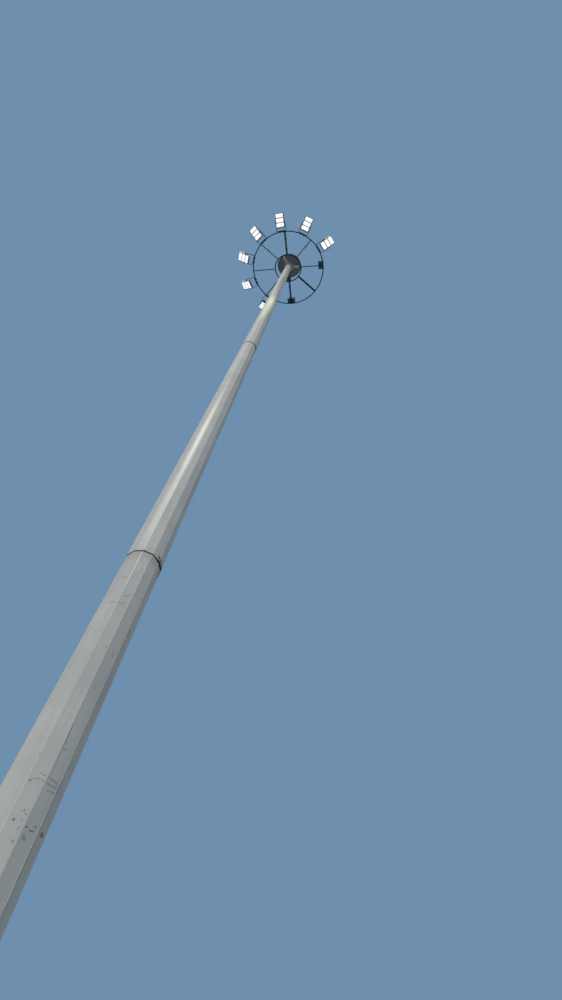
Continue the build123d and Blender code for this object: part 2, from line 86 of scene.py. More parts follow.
# Base flange and its ribs
FLANGE_TOP = top("base_flange")
RIB_AZIMUTHS = range(0, 360, 30)
RIB_HEIGHT = top("base_ribs") - FLANGE_TOP
RIB_REACH, RIB_HALF = 0.11, 0.006
FOOT_BEAD, RIB_BEAD, BEAD_LIFT, BEAD_STOP = 0.007, 0.004, 0.002, 0.01

# Service door
DOOR_MIDDLE, DOOR_HALF, DOOR_PROUD = (foot("service_door") + top("service_door")) / 2, 0.146, 0.0163
HINGE_AZIMUTH, HINGE_RISE, LOCK_RISE = 240, 0.45, 0.4
LEAF_THICKNESS, LEAF_STEP, LEAF_SCREW = 0.004, 0.022, 0.026

# Head sleeve and domed hood
SLEEVE_LENGTH, SLEEVE_WALL, SLEEVE_BOLT_DROPS = 0.32, 0.006, (0.06, 0.25)
HOOD_RADIUS, HOOD_DOME, HOOD_SKIRT = 0.450, 0.19, 0.03
HOOD_RIM = foot("hood") + HOOD_SKIRT
HOOD_SPHERE = (HOOD_RADIUS**2 + HOOD_DOME**2) / (2 * HOOD_DOME)
HOOD_CENTRE = HOOD_RIM + HOOD_DOME - HOOD_SPHERE
HOOD_TAB_CIRCLE, HOOD_RIM_BEAD, HOOD_RIB, HOOD_RIB_ENDS = 0.2, 0.0045, 0.005, (0.06, 0.43)

# Ropes
ROPE_AZIMUTHS = np.array([66.0, 186.0, 306.0])
ROPE_CIRCLE, INNER_ROPE_CIRCLE, ROPE_BEND = 0.42, 0.045, 0.056
ROPE_RADIUS, ROPE_LAY, ROPE_STEP, LAID_LENGTH = 0.004, 0.05, 0.004, 0.5
SHEAVE_HEIGHT, SOCKET_TOP, ANCHOR_TOP = top("hoist_ropes"), foot("hoist_ropes"), foot("rope_runs")

# Carriage rings, spokes and their clamps
RING_HEIGHT, RING_RADIUS, RING_TUBE = lamp_joints[0]["pos_m"][2], 1.34, 0.038
INNER_TUBE, MAST_CLEARANCE = 0.038, 0.158
INNER_RADIUS = BASE_ACROSS / 2 / cos(HALF_FLAT) + MAST_CLEARANCE + INNER_TUBE / 2
SPOKE_TUBE, SPOKE_COUNT, SPLIT_GAP, FIT_GAP = 0.032, 8, 0.004, 0.0003
CONDUIT_TUBE, CONDUIT_AZIMUTH = 0.034, 225
SPOKE_BEAD = 0.0028
EAR_HEIGHT, EAR_FACE, EAR_BOLT_STEP = 0.048, 0.010, 0.011
EAR_MIDDLE = RING_HEIGHT - SPOKE_TUBE / 2 - FIT_GAP - EAR_HEIGHT / 2 - 0.004
SPLICE_CIRCLES, SPLICE_FACE, SPLICE_BOLT_STEP = (INNER_RADIUS + 0.212, RING_RADIUS - 0.28), 0.0223, 0.018
CLIP_AZIMUTHS, CLIP_CIRCLES = (45, 135, 225, 315), (0.98, 1.04, 0.94, 0.79)
CLIP_WIDTH, CLIP_WALL, CLIP_LUG, CLIP_BOLT_DROP = 0.045, 0.007, 0.020, 0.011

# Junction boxes and plug box
BOX_AZIMUTHS, BOX_CIRCLE, BOX_FLOOR = (180, 270), 1.2525, RING_HEIGHT + RING_TUBE / 2 + FIT_GAP
BOX_DEPTH, BOX_WIDTH, BOX_HEIGHT, LID = 0.185, 0.28, 0.15, 0.003
PANEL_MARGIN, PANEL_THICKNESS, SCREW_MARGIN = 0.025, 0.002, 0.012
GLAND_CIRCLE, GLAND_PLACES, GLAND_LENGTH = 1.1925, (-0.11, -0.06, 0.06, 0.11), 0.022
SOCKET_STEP = 0.037

# Yokes and the clamps that hold them to the outer ring
CLAMP_STEP, CLAMP_LENGTH, CLAMP_WIDTH, CLAMP_PLATE, CLAMP_GAP = 0.06, 0.030, 0.036, 0.005, 0.0015
CLAMP_TURN = np.degrees(CLAMP_STEP / RING_RADIUS)
CLAMP_CIRCLE = RING_RADIUS - RING_TUBE / 2 - 0.016
CLAMP_BOLT_CIRCLE = CLAMP_CIRCLE - 0.004
YOKE_FACE = RING_RADIUS + RING_TUBE / 2 + FIT_GAP
YOKE_HALF, YOKE_BAR, YOKE_DROP, YOKE_REACH = 0.1703, 0.006, 0.025, 0.35
LIP_WIDTH, LIP_THICKNESS, LIP_MARGIN = 0.010, 0.003, 0.01

# Lamps, measured from the pivot: along the lamp, across it, and out of its back
MODULE_PITCH, MODULE_WIDTH = 0.178, 0.316
LENS_FACE, LENS_LENGTH, LENS_WIDTH, LENS_CORNER = -0.04, 0.156, 0.286, 0.016
LENS_ROWS, LENS_COLUMNS, ROW_STEP, COLUMN_STEP = 6, 12, 0.024, 0.0225
DOME_RADIUS, DOME_DEPTH, RIM_RADIUS, RIM_LIFT = 0.0098, 0.0055, 0.0035, 0.0045
LENS_SCREW_STEPS, LENS_SCREW_MARGIN = (-0.055, 0.0, 0.055), 0.005
RAIL_FACE, RAIL_DEPTH, RAIL_SCREWS = 0.1643, 0.035, (-0.25, -0.13, -0.06, 0.06, 0.13, 0.25)
DRIVER_TOP, DRIVER_LENGTH, DRIVER_WIDTH = 0.132, 0.21, 0.25
RIB_ROWS, GLAND_SIDE, GLAND_RISE = np.linspace(-0.095, 0.095, 9), 0.06, 0.085

# Bolts and screws, by the half width of their heads
SLEEVE_NUT, HOOD_BOLT, CARRIAGE_BOLT, CLAMP_BOLT, CLIP_BOLT = 0.011, 0.013, 0.009, 0.006, 0.006
HINGE_SCREW, HOOD_RIVET, BOX_SCREW, LENS_SCREW, DRIVER_SCREW = 0.005, 0.0045, 0.006, 0.004, 0.0045

SMALL_GAP = 0.0005
UP, DOWN, LENGTHWAYS, CROSSWAYS = (0, 0, 1), (0, 0, -1), (1, 0, 0), (0, 1, 0)


def unit(vectors):
    """Vectors divided by their own lengths."""
    return vectors / np.linalg.norm(vectors, axis=-1, keepdims=True)


def outward(azimuth):
    """Level direction at an azimuth in degrees."""
    return np.array([cos(radians(azimuth)), sin(radians(azimuth)), 0.0])


def smooth_step(value, low, high):
    """Smooth rise from 0 at low to 1 at high: 3 s squared less 2 s cubed, for the share s of the way."""
    share = np.clip((value - low) / (high - low), 0, 1)
    return share**2 * (3 - 2 * share)


def across(height):
    """Half the mast's size across the flats at a height: base size less taper, plus a step at each joint."""
    steps = SECTION_STEPS[0] * (height > LOW_JOINT) + SECTION_STEPS[1] * (height > HIGH_JOINT)
    return (BASE_ACROSS - TAPER * height + steps) / 2


def on_mast(azimuths, height, proud=0.0):
    """Points on the mast: the flat's distance plus proud, over the cosine of the angle off its middle."""
    angle = np.radians(np.asarray(azimuths, float))
    off = (angle + HALF_FLAT) % (2 * HALF_FLAT) - HALF_FLAT
    radius = (across(height) + proud) / np.cos(off)
    level = np.broadcast_to(height, angle.shape)
    return np.stack([radius * np.cos(angle), radius * np.sin(angle), level], -1)


def crown(radius):
    """Height of the hood's dome at a radius r: its centre plus the root of R squared less r squared."""
    return HOOD_CENTRE + np.sqrt(HOOD_SPHERE**2 - np.square(radius))


def skin(rings, closed=False):
    """Surface through rings of points: quads from ring to ring, and a fan to the middle of each open end."""
    count, size = rings.shape[:2]
    row = np.arange(count if closed else count - 1)[:, None] * size
    col = np.arange(size)[None, :]
    after = (col + 1) % size
    ahead = (row + size) % (count * size)
    corners = np.broadcast_arrays(row + col, row + after, ahead + after, ahead + col)
    quads = np.stack(corners, -1).reshape(-1, 4)
    if closed:
        return rings.reshape(-1, 3), [quads]
    points = np.concatenate([rings.reshape(-1, 3), rings[:1].mean(1), rings[-1:].mean(1)])
    edge, beside = col[0], after[0]
    first = np.stack([beside, edge, np.full(size, count * size)], -1)
    last_row = (count - 1) * size
    last = np.stack([last_row + edge, last_row + beside, np.full(size, count * size + 1)], -1)
    return points, [quads, first, last]


def join(shapes):
    """Several shapes as one, with the face numbers moved on."""
    starts = np.cumsum([0] + [len(points) for points, _ in shapes])
    faces = [block + start for (_, blocks), start in zip(shapes, starts) for block in blocks]
    return np.concatenate([points for points, _ in shapes]), faces


def copies(shape, frames):
    """One copy of a shape in each frame: origin + x, y and z times the frame's own directions."""
    points, blocks = shape
    frames = np.asarray(frames).reshape(-1, 4, 3)
    placed = frames[:, None, 0] + points @ frames[:, 1:]
    shifts = (np.arange(len(frames)) * len(points))[:, None, None]
    return placed.reshape(-1, 3), [(block + shifts).reshape(-1, block.shape[1]) for block in blocks]


def frames_at(origins, axis, up):
    """Frames with z along the axis and x square to it and to the up direction."""
    origins = np.atleast_2d(np.asarray(origins, float))
    z = unit(np.broadcast_to(np.asarray(axis, float), origins.shape))
    x = unit(np.cross(np.broadcast_to(np.asarray(up, float), origins.shape), z))
    return np.stack([origins, x, np.cross(z, x), z], 1)


def ring_frames(azimuths, radius, height, offset=0.0):
    """Frames round the mast's axis: x outwards, y along the ring, z up. Azimuths in degrees."""
    angle = np.radians(np.atleast_1d(np.asarray(azimuths, float)))
    out = np.stack([np.cos(angle), np.sin(angle), 0 * angle], -1)
    along = np.stack([-np.sin(angle), np.cos(angle), 0 * angle], -1)
    up = np.broadcast_to([0.0, 0.0, 1.0], out.shape)
    return np.stack([radius * out + offset * along + height * up, out, along, up], 1)


def inside(base, places):
    """Frames parallel to one frame, at places given in its own directions."""
    places = np.atleast_2d(np.asarray(places, float))
    origins = base[0] + places @ base[1:]
    return np.concatenate([origins[:, None], np.broadcast_to(base[1:], (len(origins), 3, 3))], 1)


def turned(frames, order):
    """The same frames with their directions in another order: (1, 2, 0) puts z along the old x."""
    return np.concatenate([frames[:, :1], frames[:, 1:][:, list(order)]], 1)


def revolved(profile, sides):
    """Surface of revolution about z: each (radius, height) of the profile becomes a ring of cos and sin."""
    profile = np.asarray(profile, float)
    angle = np.arange(sides) * 2 * pi / sides
    circle = np.stack([np.cos(angle), np.sin(angle), 0 * angle], -1)
    return skin(profile[:, :1, None] * circle + profile[:, 1, None, None] * UP)


def outline(length, width, corner, steps=5):
    """Rounded rectangle: a quarter circle about each corner's centre, at angles that run once round."""
    turn = (np.linspace(0, pi / 2, steps) + np.arange(4)[:, None] * pi / 2)
    signs = np.array([[1, 1], [-1, 1], [-1, -1], [1, -1]])
    centres = signs[:, None] * [length / 2 - corner, width / 2 - corner]
    return (centres + corner * np.stack([np.cos(turn), np.sin(turn)], -1)).reshape(-1, 2)


def raised(line, height=0.0):
    """Points of a plane outline, at a height."""
    return np.pad(line, ((0, 0), (0, 1)), constant_values=((0, 0), (0, height)))


def slab(length, width, height, corner, edge):
    """Rounded plate from z = 0, drawn in by edge (1 - cos t) while it rises by edge sin t at its top."""
    turn = np.linspace(0, pi / 2, 4)
    drawn = np.concatenate([[0], edge * (1 - np.cos(turn))])
    rise = np.concatenate([[0], height - edge + edge * np.sin(turn)])
    rings = [outline(length - 2 * inset, width - 2 * inset, corner - inset * 0.9) for inset in drawn]
    return skin(np.stack([raised(ring, level) for ring, level in zip(rings, rise)]))


def swept(path, radius, sides, up, closed=False):
    """Tube along a path: radius times cos and sin of an angle, in the plane square to the path."""
    path = np.asarray(path, float)
    if closed:
        heading = unit(np.roll(path, -1, 0) - np.roll(path, 1, 0))
    else:
        heading = unit(np.gradient(path, axis=0))
    side = unit(np.cross(heading, np.broadcast_to(np.asarray(up, float), path.shape)))
    rise = np.cross(side, heading)
    angle = np.arange(sides) * 2 * pi / sides
    radius = np.asarray(radius, float)
    if radius.ndim < 2:
        radius = np.broadcast_to(radius, len(path))[:, None]
    spread = np.cos(angle)[:, None] * side[:, None] + np.sin(angle)[:, None] * rise[:, None]
    return skin(path[:, None] + radius[..., None] * spread, closed)


def bead(path, radius, up, closed=False):
    """Weld bead: a tube that swells by a sixth, as the sine of the distance over three radii."""
    path = np.asarray(path, float)
    gaps = np.linalg.norm(np.diff(path, axis=0), axis=1)
    distance = np.concatenate([[0], np.cumsum(gaps)])
    return swept(path, radius * (1 + np.sin(distance * 2 * pi / (3 * radius)) / 6), 6, up, closed)


def straight(start, end, step):
    """Points about a step apart on the line from start to end."""
    start, end = np.asarray(start, float), np.asarray(end, float)
    share = np.linspace(0, 1, max(2, int(np.linalg.norm(end - start) / step)))
    return start + share[:, None] * (end - start)


def twisted(path, radius, pitch, up, sides=24):
    """Laid rope: a tube of radius (0.86 + 0.14 |cos 3a|), whose angle a turns once round in each pitch."""
    path = np.asarray(path, float)
    distance = np.concatenate([[0], np.cumsum(np.linalg.norm(np.diff(path, axis=0), axis=1))])
    angle = np.arange(sides)[None] * 2 * pi / sides - 2 * pi * distance[:, None] / pitch
    return swept(path, radius * (0.86 + 0.14 * np.abs(np.cos(3 * angle))), sides, up)


def hex_bolt(size, grip=0.0):
    """Hexagon head on a round washer, in shares of its size, from the washer's foot at z = 0 up. A grip adds
    the shank below it."""
    washer = revolved([(size * 1.1, 0), (size * 1.1, size * 0.18), (size, size * 0.2)], 12)
    head = [(size * 0.92, size * 0.2), (size * 0.92, size * 0.78), (size * 0.78, size * 0.9)]
    shapes = [washer, revolved(head, 6)]
    if grip:
        shapes.append(revolved([(size / 2, -grip), (size / 2, 0)], 10))
    return join(shapes)


def hex_nut(size):
    """Nut on a washer, with the bolt's round end standing out of it."""
    end = [(size * 0.48, size), (size * 0.48, size * 1.2), (size * 0.36, size * 1.32)]
    return join([hex_bolt(size), revolved(end, 10)])


def pan_screw(size):
    """Low round screw head: a quarter ellipse turned about its axis."""
    turn = np.linspace(0, pi / 2 * 0.85, 4)
    return revolved(np.stack([size * np.cos(turn), size * 0.55 * np.sin(turn)], -1), 10)


def piece(name, shape, finish, body=None, smooth=32):
    """Turn a shape into an object with its finish, and let it ride on its body."""
    points, blocks = shape
    mesh = bpy.data.meshes.new(name)
    mesh.from_pydata(points.tolist(), [], [face for block in blocks for face in block.tolist()])
    work = bmesh.new()
    work.from_mesh(mesh)
    bmesh.ops.recalc_face_normals(work, faces=work.faces)
    work.to_mesh(mesh)
    work.free()
    mesh.shade_smooth()
    mesh.set_sharp_from_angle(angle=radians(smooth))
    mesh.materials.append(finish)
    made = bpy.data.objects.new(name, mesh)
    bpy.context.scene.collection.objects.link(made)
    if body:
        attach(made, body)
    return made


class Finish:
    """A material being made. Each call adds a node and gives back its output."""

    def __init__(self, name):
        self.material = bpy.data.materials.new(name)
        self.material.use_nodes = True
        self.tree = self.material.node_tree
        self.tree.nodes.clear()
        self.place = self.add("TexCoord").outputs["Object"]

    def add(self, kind, inputs=None, **settings):
        node = self.tree.nodes.new("ShaderNode" + kind)
        for key, value in settings.items():
            setattr(node, key, value)
        for key, value in (inputs or {}).items():
            if isinstance(value, bpy.types.NodeSocket):
                self.tree.links.new(value, node.inputs[key])
            else:
                node.inputs[key].default_value = value
        return node

    def math(self, operation, first, second=0.0):
        return self.add("Math", {0: first, 1: second}, operation=operation).outputs[0]

    def stretched(self, x, y, z):
        return self.add("Mapping", {"Vector": self.place, "Scale": (x, y, z)}).outputs[0]

    def noise(self, scale, detail=4.0, roughness=0.55, place=None):
        inputs = {"Vector": place or self.place, "Scale": scale, "Detail": detail, "Roughness": roughness}
        return self.add("TexNoise", inputs).outputs["Fac"]

    def cells(self, scale):
        return self.add("TexVoronoi", {"Vector": self.place, "Scale": scale}).outputs["Color"]

    def band(self, value, low, high, start=0.0, end=1.0):
        inputs = {"Value": value, "From Min": low, "From Max": high, "To Min": start, "To Max": end}
        return self.add("MapRange", inputs, interpolation_type="SMOOTHSTEP").outputs[0]

    def mix(self, share, first, second):
        return self.add("Mix", {0: share, 6: first, 7: second}, data_type="RGBA").outputs[2]

    def cover(self, colour, shade, place, strength):
        """The colour with a shade laid over it at a strength, where the place value is 1."""
        return self.mix(self.math("MULTIPLY", place, strength), colour, shade)

    def axes(self):
        split = self.add("SeparateXYZ", {0: self.place})
        return split.outputs["X"], split.outputs["Y"], split.outputs["Z"]

    def bump(self, value, distance, strength=1.0):
        inputs = {"Height": value, "Distance": distance, "Strength": strength}
        return self.add("Bump", inputs).outputs[0]

    def surface(self, **inputs):
        keys = {key.replace("_", " "): value for key, value in inputs.items()}
        shader = self.add("BsdfPrincipled", keys)
        self.add("OutputMaterial", {"Surface": shader.outputs[0]})
        return self.material


def tone(red, green, blue):
    """A colour with full opacity."""
    return (red, green, blue, 1.0)


def zinc_tone(made, light, dark, spread=1.0, flecks=0.16):
    """Galvanised colour: spangle cells over wide cloudy patches and long streaks that run down."""
    cloud = made.noise(1.7 * spread, 5.0)
    streak = made.noise(9.0 * spread, 3.0, place=made.stretched(1, 1, 0.05))
    spangle = made.math("MULTIPLY", made.cells(55 * spread), flecks)
    share = made.math("ADD", made.band(made.math("ADD", cloud, streak), 0.75, 1.25), spangle)
    return made.mix(share, dark, light)


def facet_edge(made, shift, width):
    """1 on lines beside the mast's corners, falling to 0 a width away, both in shares of a flat."""
    x, y, _ = made.axes()
    turn = made.math("DIVIDE", made.math("ARCTAN2", y, x), 2 * HALF_FLAT)
    off = made.math("ABSOLUTE", made.math("SUBTRACT", made.math("FRACT", turn), 0.5 + shift))
    return made.band(off, 0.0, width, 1.0, 0.0)


def mark(made, worn, start, end, half_width):
    """1 within a ragged half width of the line between two points given as (azimuth, height)."""
    first, last = on_mast(*start), on_mast(*end)
    line = last - first
    gap = made.add("VectorMath", {0: made.place, 1: tuple(first)}, operation="SUBTRACT").outputs[0]
    if line.any():
        along = made.add("VectorMath", {0: gap, 1: tuple(line / (line @ line))}, operation="DOT_PRODUCT")
        inputs = {0: along.outputs["Value"], 1: 1.0}
        share = made.add("Math", inputs, operation="MULTIPLY", use_clamp=True).outputs[0]
        nearest = made.add("VectorMath", {0: tuple(line), "Scale": share}, operation="SCALE").outputs[0]
        gap = made.add("VectorMath", {0: gap, 1: nearest}, operation="SUBTRACT").outputs[0]
    away = made.add("VectorMath", {0: gap}, operation="LENGTH").outputs["Value"]
    away = made.math("ADD", made.math("DIVIDE", away, half_width), worn)
    return made.band(away, 1.1, 1.7, 1.0, 0.0)


def painted_light_spot(made, azimuth, height, half_width, half_height):
    """1 at a point on the mast's face, falling to 0 at an upright ellipsoid of these half sizes about it."""
    middle = tuple(on_mast(azimuth, height))
    size = (1 / half_width, 1 / half_width, 1 / half_height)
    gap = made.add("VectorMath", {0: made.place, 1: middle}, operation="SUBTRACT").outputs[0]
    gap = made.add("VectorMath", {0: gap, 1: size}, operation="MULTIPLY").outputs[0]
    away = made.add("VectorMath", {0: gap}, operation="LENGTH").outputs["Value"]
    return made.band(away, 0.0, 1.0, 1.0, 0.0)


def mast_finish(name, joint=None, marks=(), patches=(), light=0.475):
    """Weathered galvanising with painted light: a painted highlight and painted shade along the corners,
    painted shade and grime under the joint above, marks, and soft spots of painted glint, reflection and
    shade.
    """
    made = Finish(name)
    dark = light - 0.06
    pale, dull = tone(light, light * 1.01, light * 0.973), tone(dark, dark * 1.024, dark)
    colour = zinc_tone(made, pale, dull, flecks=0.05)
    # Painted highlight and painted shade along the mast's corners, where light falls across the facet edges
    colour = made.cover(colour, EDGE_HIGHLIGHT, facet_edge(made, 0.0, 0.03), 0.08)
    colour = made.cover(colour, EDGE_SHADE, facet_edge(made, 0.055, 0.03), 0.12)
    # Painted shade with grime: darker in streaks just under the joint above, where its rim shades the section
    if joint:
        _, _, z = made.axes()
        streaking = made.noise(16, 4.0, place=made.stretched(1, 1, 0.12))
        below = made.band(z, joint - JOINT_SHADE_REACH, joint)
        colour = made.cover(colour, JOINT_SHADE_AND_GRIME, made.band(made.math("ADD", below, streaking), 1.0, 1.5), 0.25)
    worn = made.noise(60, 4.0, 0.7)
    # Marks: real smears and rust, and painted highlight and painted shade lines along corners and joints
    for start, end, half_width, strength, shade in marks:
        colour = made.cover(colour, shade, mark(made, worn, start, end, half_width), strength)
    # Soft spots of painted glint, painted reflection and painted shade
    for place, size, strength, shade in patches:
        colour = made.cover(colour, shade, painted_light_spot(made, *place, *size), strength)
    rough = made.band(made.noise(6, 3.0), 0.3, 0.7, 0.66, 0.78)
    ripple = made.math("ADD", made.noise(3.0, 2.0), made.math("MULTIPLY", made.noise(140, 2.0), 0.06))
    bumped = made.bump(ripple, 0.008, 0.3)
    return made.surface(Base_Color=colour, Roughness=rough, Specular_IOR_Level=0.06, Normal=bumped)


def zinc_finish(name, light=0.46, dark=0.33, spread=8.0):
    """Galvanised fittings and weld beads."""
    made = Finish(name)
    colour = zinc_tone(made, tone(light, light * 1.02, light), tone(dark, dark * 1.03, dark * 1.04), spread)
    rough = made.band(made.noise(20, 3.0), 0.3, 0.7, 0.42, 0.6)
    grain = made.bump(made.noise(260, 3.0), 0.0008, 0.5)
    return made.surface(Base_Color=colour, Roughness=rough, Metallic=0.4, Normal=grain)


def paint_finish(name, base, worn, rough=0.5, wear=0.25, gloss=0.1):
    """Dark paint with dusty patches, fine orange peel and chalky wear."""
    made = Finish(name)
    colour = made.cover(base, worn, made.band(made.noise(5, 5.0, 0.65), 0.45, 0.75), wear)
    colour = made.cover(colour, worn, made.band(made.noise(70, 4.0, 0.7), 0.66, 0.74), wear)
    shine = made.band(made.noise(14, 3.0), 0.3, 0.7, rough - 0.08, rough + 0.1)
    peel = made.bump(made.noise(420, 2.0), 0.0004, 0.5)
    return made.surface(Base_Color=colour, Roughness=shine, Specular_IOR_Level=gloss, Normal=peel)


def rope_finish(name):
    """Stranded steel wire, darker in the grease between its wires."""
    made = Finish(name)
    grease = made.band(made.noise(120, 4.0), 0.35, 0.65)
    colour = made.mix(grease, tone(0.07, 0.07, 0.07), tone(0.20, 0.205, 0.21))
    wires = made.bump(made.noise(900, 2.0, place=made.stretched(1, 1, 0.4)), 0.0004, 0.6)
    return made.surface(Base_Color=colour, Roughness=0.55, Metallic=0.4, Normal=wires)


def light_finish(name, low, high):
    """Lit lens: cool white light, a little stronger at the middle of each patch."""
    made = Finish(name)
    glow = made.band(made.noise(30, 2.0), 0.3, 0.7, low, high)
    unlit, lit = tone(0.35, 0.36, 0.38), tone(0.97, 0.99, 1.0)
    return made.surface(Base_Color=unlit, Roughness=0.3, Emission_Color=lit, Emission_Strength=glow)


# Colours laid over the mast's galvanising: painted highlight and painted shade for the corner lines, painted
# shade with grime under the joints
EDGE_HIGHLIGHT, EDGE_SHADE, JOINT_SHADE_AND_GRIME = tone(0.68, 0.68, 0.66), tone(0.16, 0.165, 0.16), tone(0.20, 0.20, 0.19)
# Dark tones for real smears that also paint shade lines along corners and joints, and a painted corner
# highlight
SOOT_AND_SHADE, SMUDGE_AND_SHADE, CORNER_HIGHLIGHT = tone(0.07, 0.07, 0.07), tone(0.16, 0.16, 0.155), tone(0.84, 0.85, 0.83)
# Rust, and a brown painted shade for the mast's top in the carriage's shade
RUST, PAINTED_SHADE_BROWN = tone(0.30, 0.12, 0.05), tone(0.24, 0.20, 0.18)
# A painted reflection of the sun and a painted glint
PAINTED_REFLECTION, PAINTED_GLINT = tone(0.95, 0.93, 0.68), tone(0.94, 0.93, 0.82)
# Reach of the painted shade and grime below each joint
JOINT_SHADE_REACH = 0.5

# Smears, scratches and run marks, with painted highlight and painted shade lines along corners and joints:
# the two ends as (azimuth, height), half width, strength and shade
lower_marks = [
    ((106.5, 5.720), (112.0, 5.715), 0.004, 0.6, SOOT_AND_SHADE),
    ((108.0, 5.700), (111.5, 5.745), 0.004, 0.6, SOOT_AND_SHADE),
    ((116.0, 5.745), (124.0, 5.770), 0.004, 0.7, SOOT_AND_SHADE),
    ((130.0, 5.755), (131.5, 5.760), 0.006, 0.7, SOOT_AND_SHADE),
    ((119.5, 5.820), (130.5, 5.810), 0.004, 0.6, SOOT_AND_SHADE),
    ((139.0, 5.815), (160.0, 5.820), 0.013, 0.4, SMUDGE_AND_SHADE),
    ((141.0, 5.755), (164.0, 5.780), 0.013, 0.4, SMUDGE_AND_SHADE),
    ((145.5, 5.700), (161.5, 5.725), 0.012, 0.4, SMUDGE_AND_SHADE),
    ((120.0, 5.425), (120.5, 5.425), 0.006, 0.7, SOOT_AND_SHADE),
    ((123.5, 5.450), (124.5, 5.420), 0.005, 0.6, SOOT_AND_SHADE),
    ((129.5, 5.410), (130.0, 5.405), 0.006, 0.7, SOOT_AND_SHADE),
    ((113.5, 5.320), (114.5, 5.335), 0.010, 0.7, SOOT_AND_SHADE),
    ((127.5, 5.340), (128.0, 5.345), 0.006, 0.7, SOOT_AND_SHADE),
    ((127.5, 5.255), (127.5, 5.290), 0.006, 0.5, SMUDGE_AND_SHADE),
    ((138.5, 5.310), (142.5, 5.315), 0.007, 0.7, SOOT_AND_SHADE),
    ((148.0, 5.305), (155.0, 5.320), 0.008, 0.7, SOOT_AND_SHADE),
    ((155.5, 5.360), (156.5, 5.365), 0.008, 0.8, SOOT_AND_SHADE),
    ((143.5, 5.230), (145.0, 5.220), 0.022, 0.5, SMUDGE_AND_SHADE),
    ((128.0, 5.155), (128.5, 5.145), 0.014, 0.4, SMUDGE_AND_SHADE),
    ((168.0, 5.785), (170.5, 5.755), 0.009, 0.6, RUST),
    ((177.5, 5.360), (180.0, 5.385), 0.016, 0.9, RUST),
    ((184.5, 5.375), (185.5, 5.380), 0.012, 0.9, SOOT_AND_SHADE),
    ((144.5, 6.150), (145.0, 6.170), 0.008, 0.6, SMUDGE_AND_SHADE),
    ((104.0, 5.980), (104.0, 6.000), 0.010, 0.3, SMUDGE_AND_SHADE),
    ((76.0, 8.880), (103.0, 8.830), 0.014, 0.25, SMUDGE_AND_SHADE),
    ((111.5, 8.465), (128.5, 8.525), 0.018, 0.28, SMUDGE_AND_SHADE),
    ((81.5, 8.325), (97.5, 8.320), 0.016, 0.28, SMUDGE_AND_SHADE),
    ((106.0, 8.315), (123.0, 8.345), 0.018, 0.25, SMUDGE_AND_SHADE),
    ((126.0, 7.570), (130.0, 7.565), 0.014, 0.35, SMUDGE_AND_SHADE),
    ((153.5, 7.500), (153.5, 7.570), 0.010, 0.40, SMUDGE_AND_SHADE),
    ((172.0, 7.950), (172.0, 8.080), 0.020, 0.30, RUST),
    ((167.5, 7.700), (167.5, 7.800), 0.015, 0.35, RUST),
    # Painted shade under the low joint on its open side
    ((194.0, 9.460), (192.0, 9.270), 0.008, 0.80, SOOT_AND_SHADE),
    # Painted highlight along the corner at 105 degrees
    ((103.0, 9.440), (102.5, 8.700), 0.008, 0.35, CORNER_HIGHLIGHT),
    ((102.5, 8.700), (103.5, 8.000), 0.005, 0.20, CORNER_HIGHLIGHT),
    # Painted shade along the corner at 135 degrees
    ((136.5, 6.450), (138.5, 6.210), 0.004, 0.65, SOOT_AND_SHADE),
    ((138.5, 6.210), (140.5, 5.840), 0.003, 0.50, SOOT_AND_SHADE),
    ((135.5, 6.500), (135.5, 9.300), 0.004, 0.30, SMUDGE_AND_SHADE),
    # Painted highlight along the corner at 165 degrees
    ((165.0, 4.700), (165.0, 6.700), 0.004, 0.60, CORNER_HIGHLIGHT),
    ((165.0, 6.700), (165.0, 9.400), 0.003, 0.30, CORNER_HIGHLIGHT),
    # Painted shade beside the corner at 165 degrees
    ((166.0, 5.900), (167.0, 4.900), 0.004, 0.75, SOOT_AND_SHADE),
    ((166.0, 5.900), (166.0, 9.420), 0.004, 0.35, SMUDGE_AND_SHADE),
    ((167.0, 0.300), (167.0, 4.900), 0.004, 0.50, SMUDGE_AND_SHADE),
]
middle_marks = [
    # Painted shade in the low joint's gap on its open side
    ((150.0, 9.560), (163.0, 9.555), 0.006, 0.90, SOOT_AND_SHADE),
    ((158.0, 9.530), (166.0, 9.505), 0.020, 0.95, SOOT_AND_SHADE),
    ((166.0, 9.515), (193.0, 9.500), 0.018, 0.95, SOOT_AND_SHADE),
    # Painted highlight along the corner at 105 degrees
    ((103.5, 9.520), (102.5, 12.300), 0.005, 0.60, CORNER_HIGHLIGHT),
    # Painted shade beside the corner at 165 degrees
    ((167.0, 9.620), (167.0, 19.400), 0.005, 0.40, SMUDGE_AND_SHADE),
]
upper_marks = [
    # Painted shade beside the corner at 165 degrees
    ((167.0, 19.530), (167.0, 29.900), 0.005, 0.40, SMUDGE_AND_SHADE),
    ((150.0, 25.100), (150.0, 25.900), 0.016, 0.50, SMUDGE_AND_SHADE),
]

# Soft spots of painted glint, painted reflection and painted shade: the middle as (azimuth, height), the half
# width and half height, strength and shade
middle_painted_glints = [
    # Painted glint on the faces turned to the sun
    ((97.5, 13.300), (0.080, 3.400), 0.85, PAINTED_GLINT),
    ((92.0, 10.600), (0.090, 1.600), 0.35, PAINTED_GLINT),
]
upper_painted_light = [
    # Painted shade where the carriage shades the mast's top
    ((125.0, 26.900), (0.110, 1.900), 0.50, PAINTED_SHADE_BROWN),
    ((135.0, 29.300), (0.300, 1.600), 0.30, PAINTED_SHADE_BROWN),
    # Painted reflection of the sun
    ((117.0, 23.700), (0.200, 1.500), 0.70, PAINTED_REFLECTION),
    ((119.0, 24.000), (0.110, 0.900), 0.85, PAINTED_REFLECTION),
    ((102.0, 22.600), (0.120, 1.300), 0.55, PAINTED_REFLECTION),
]

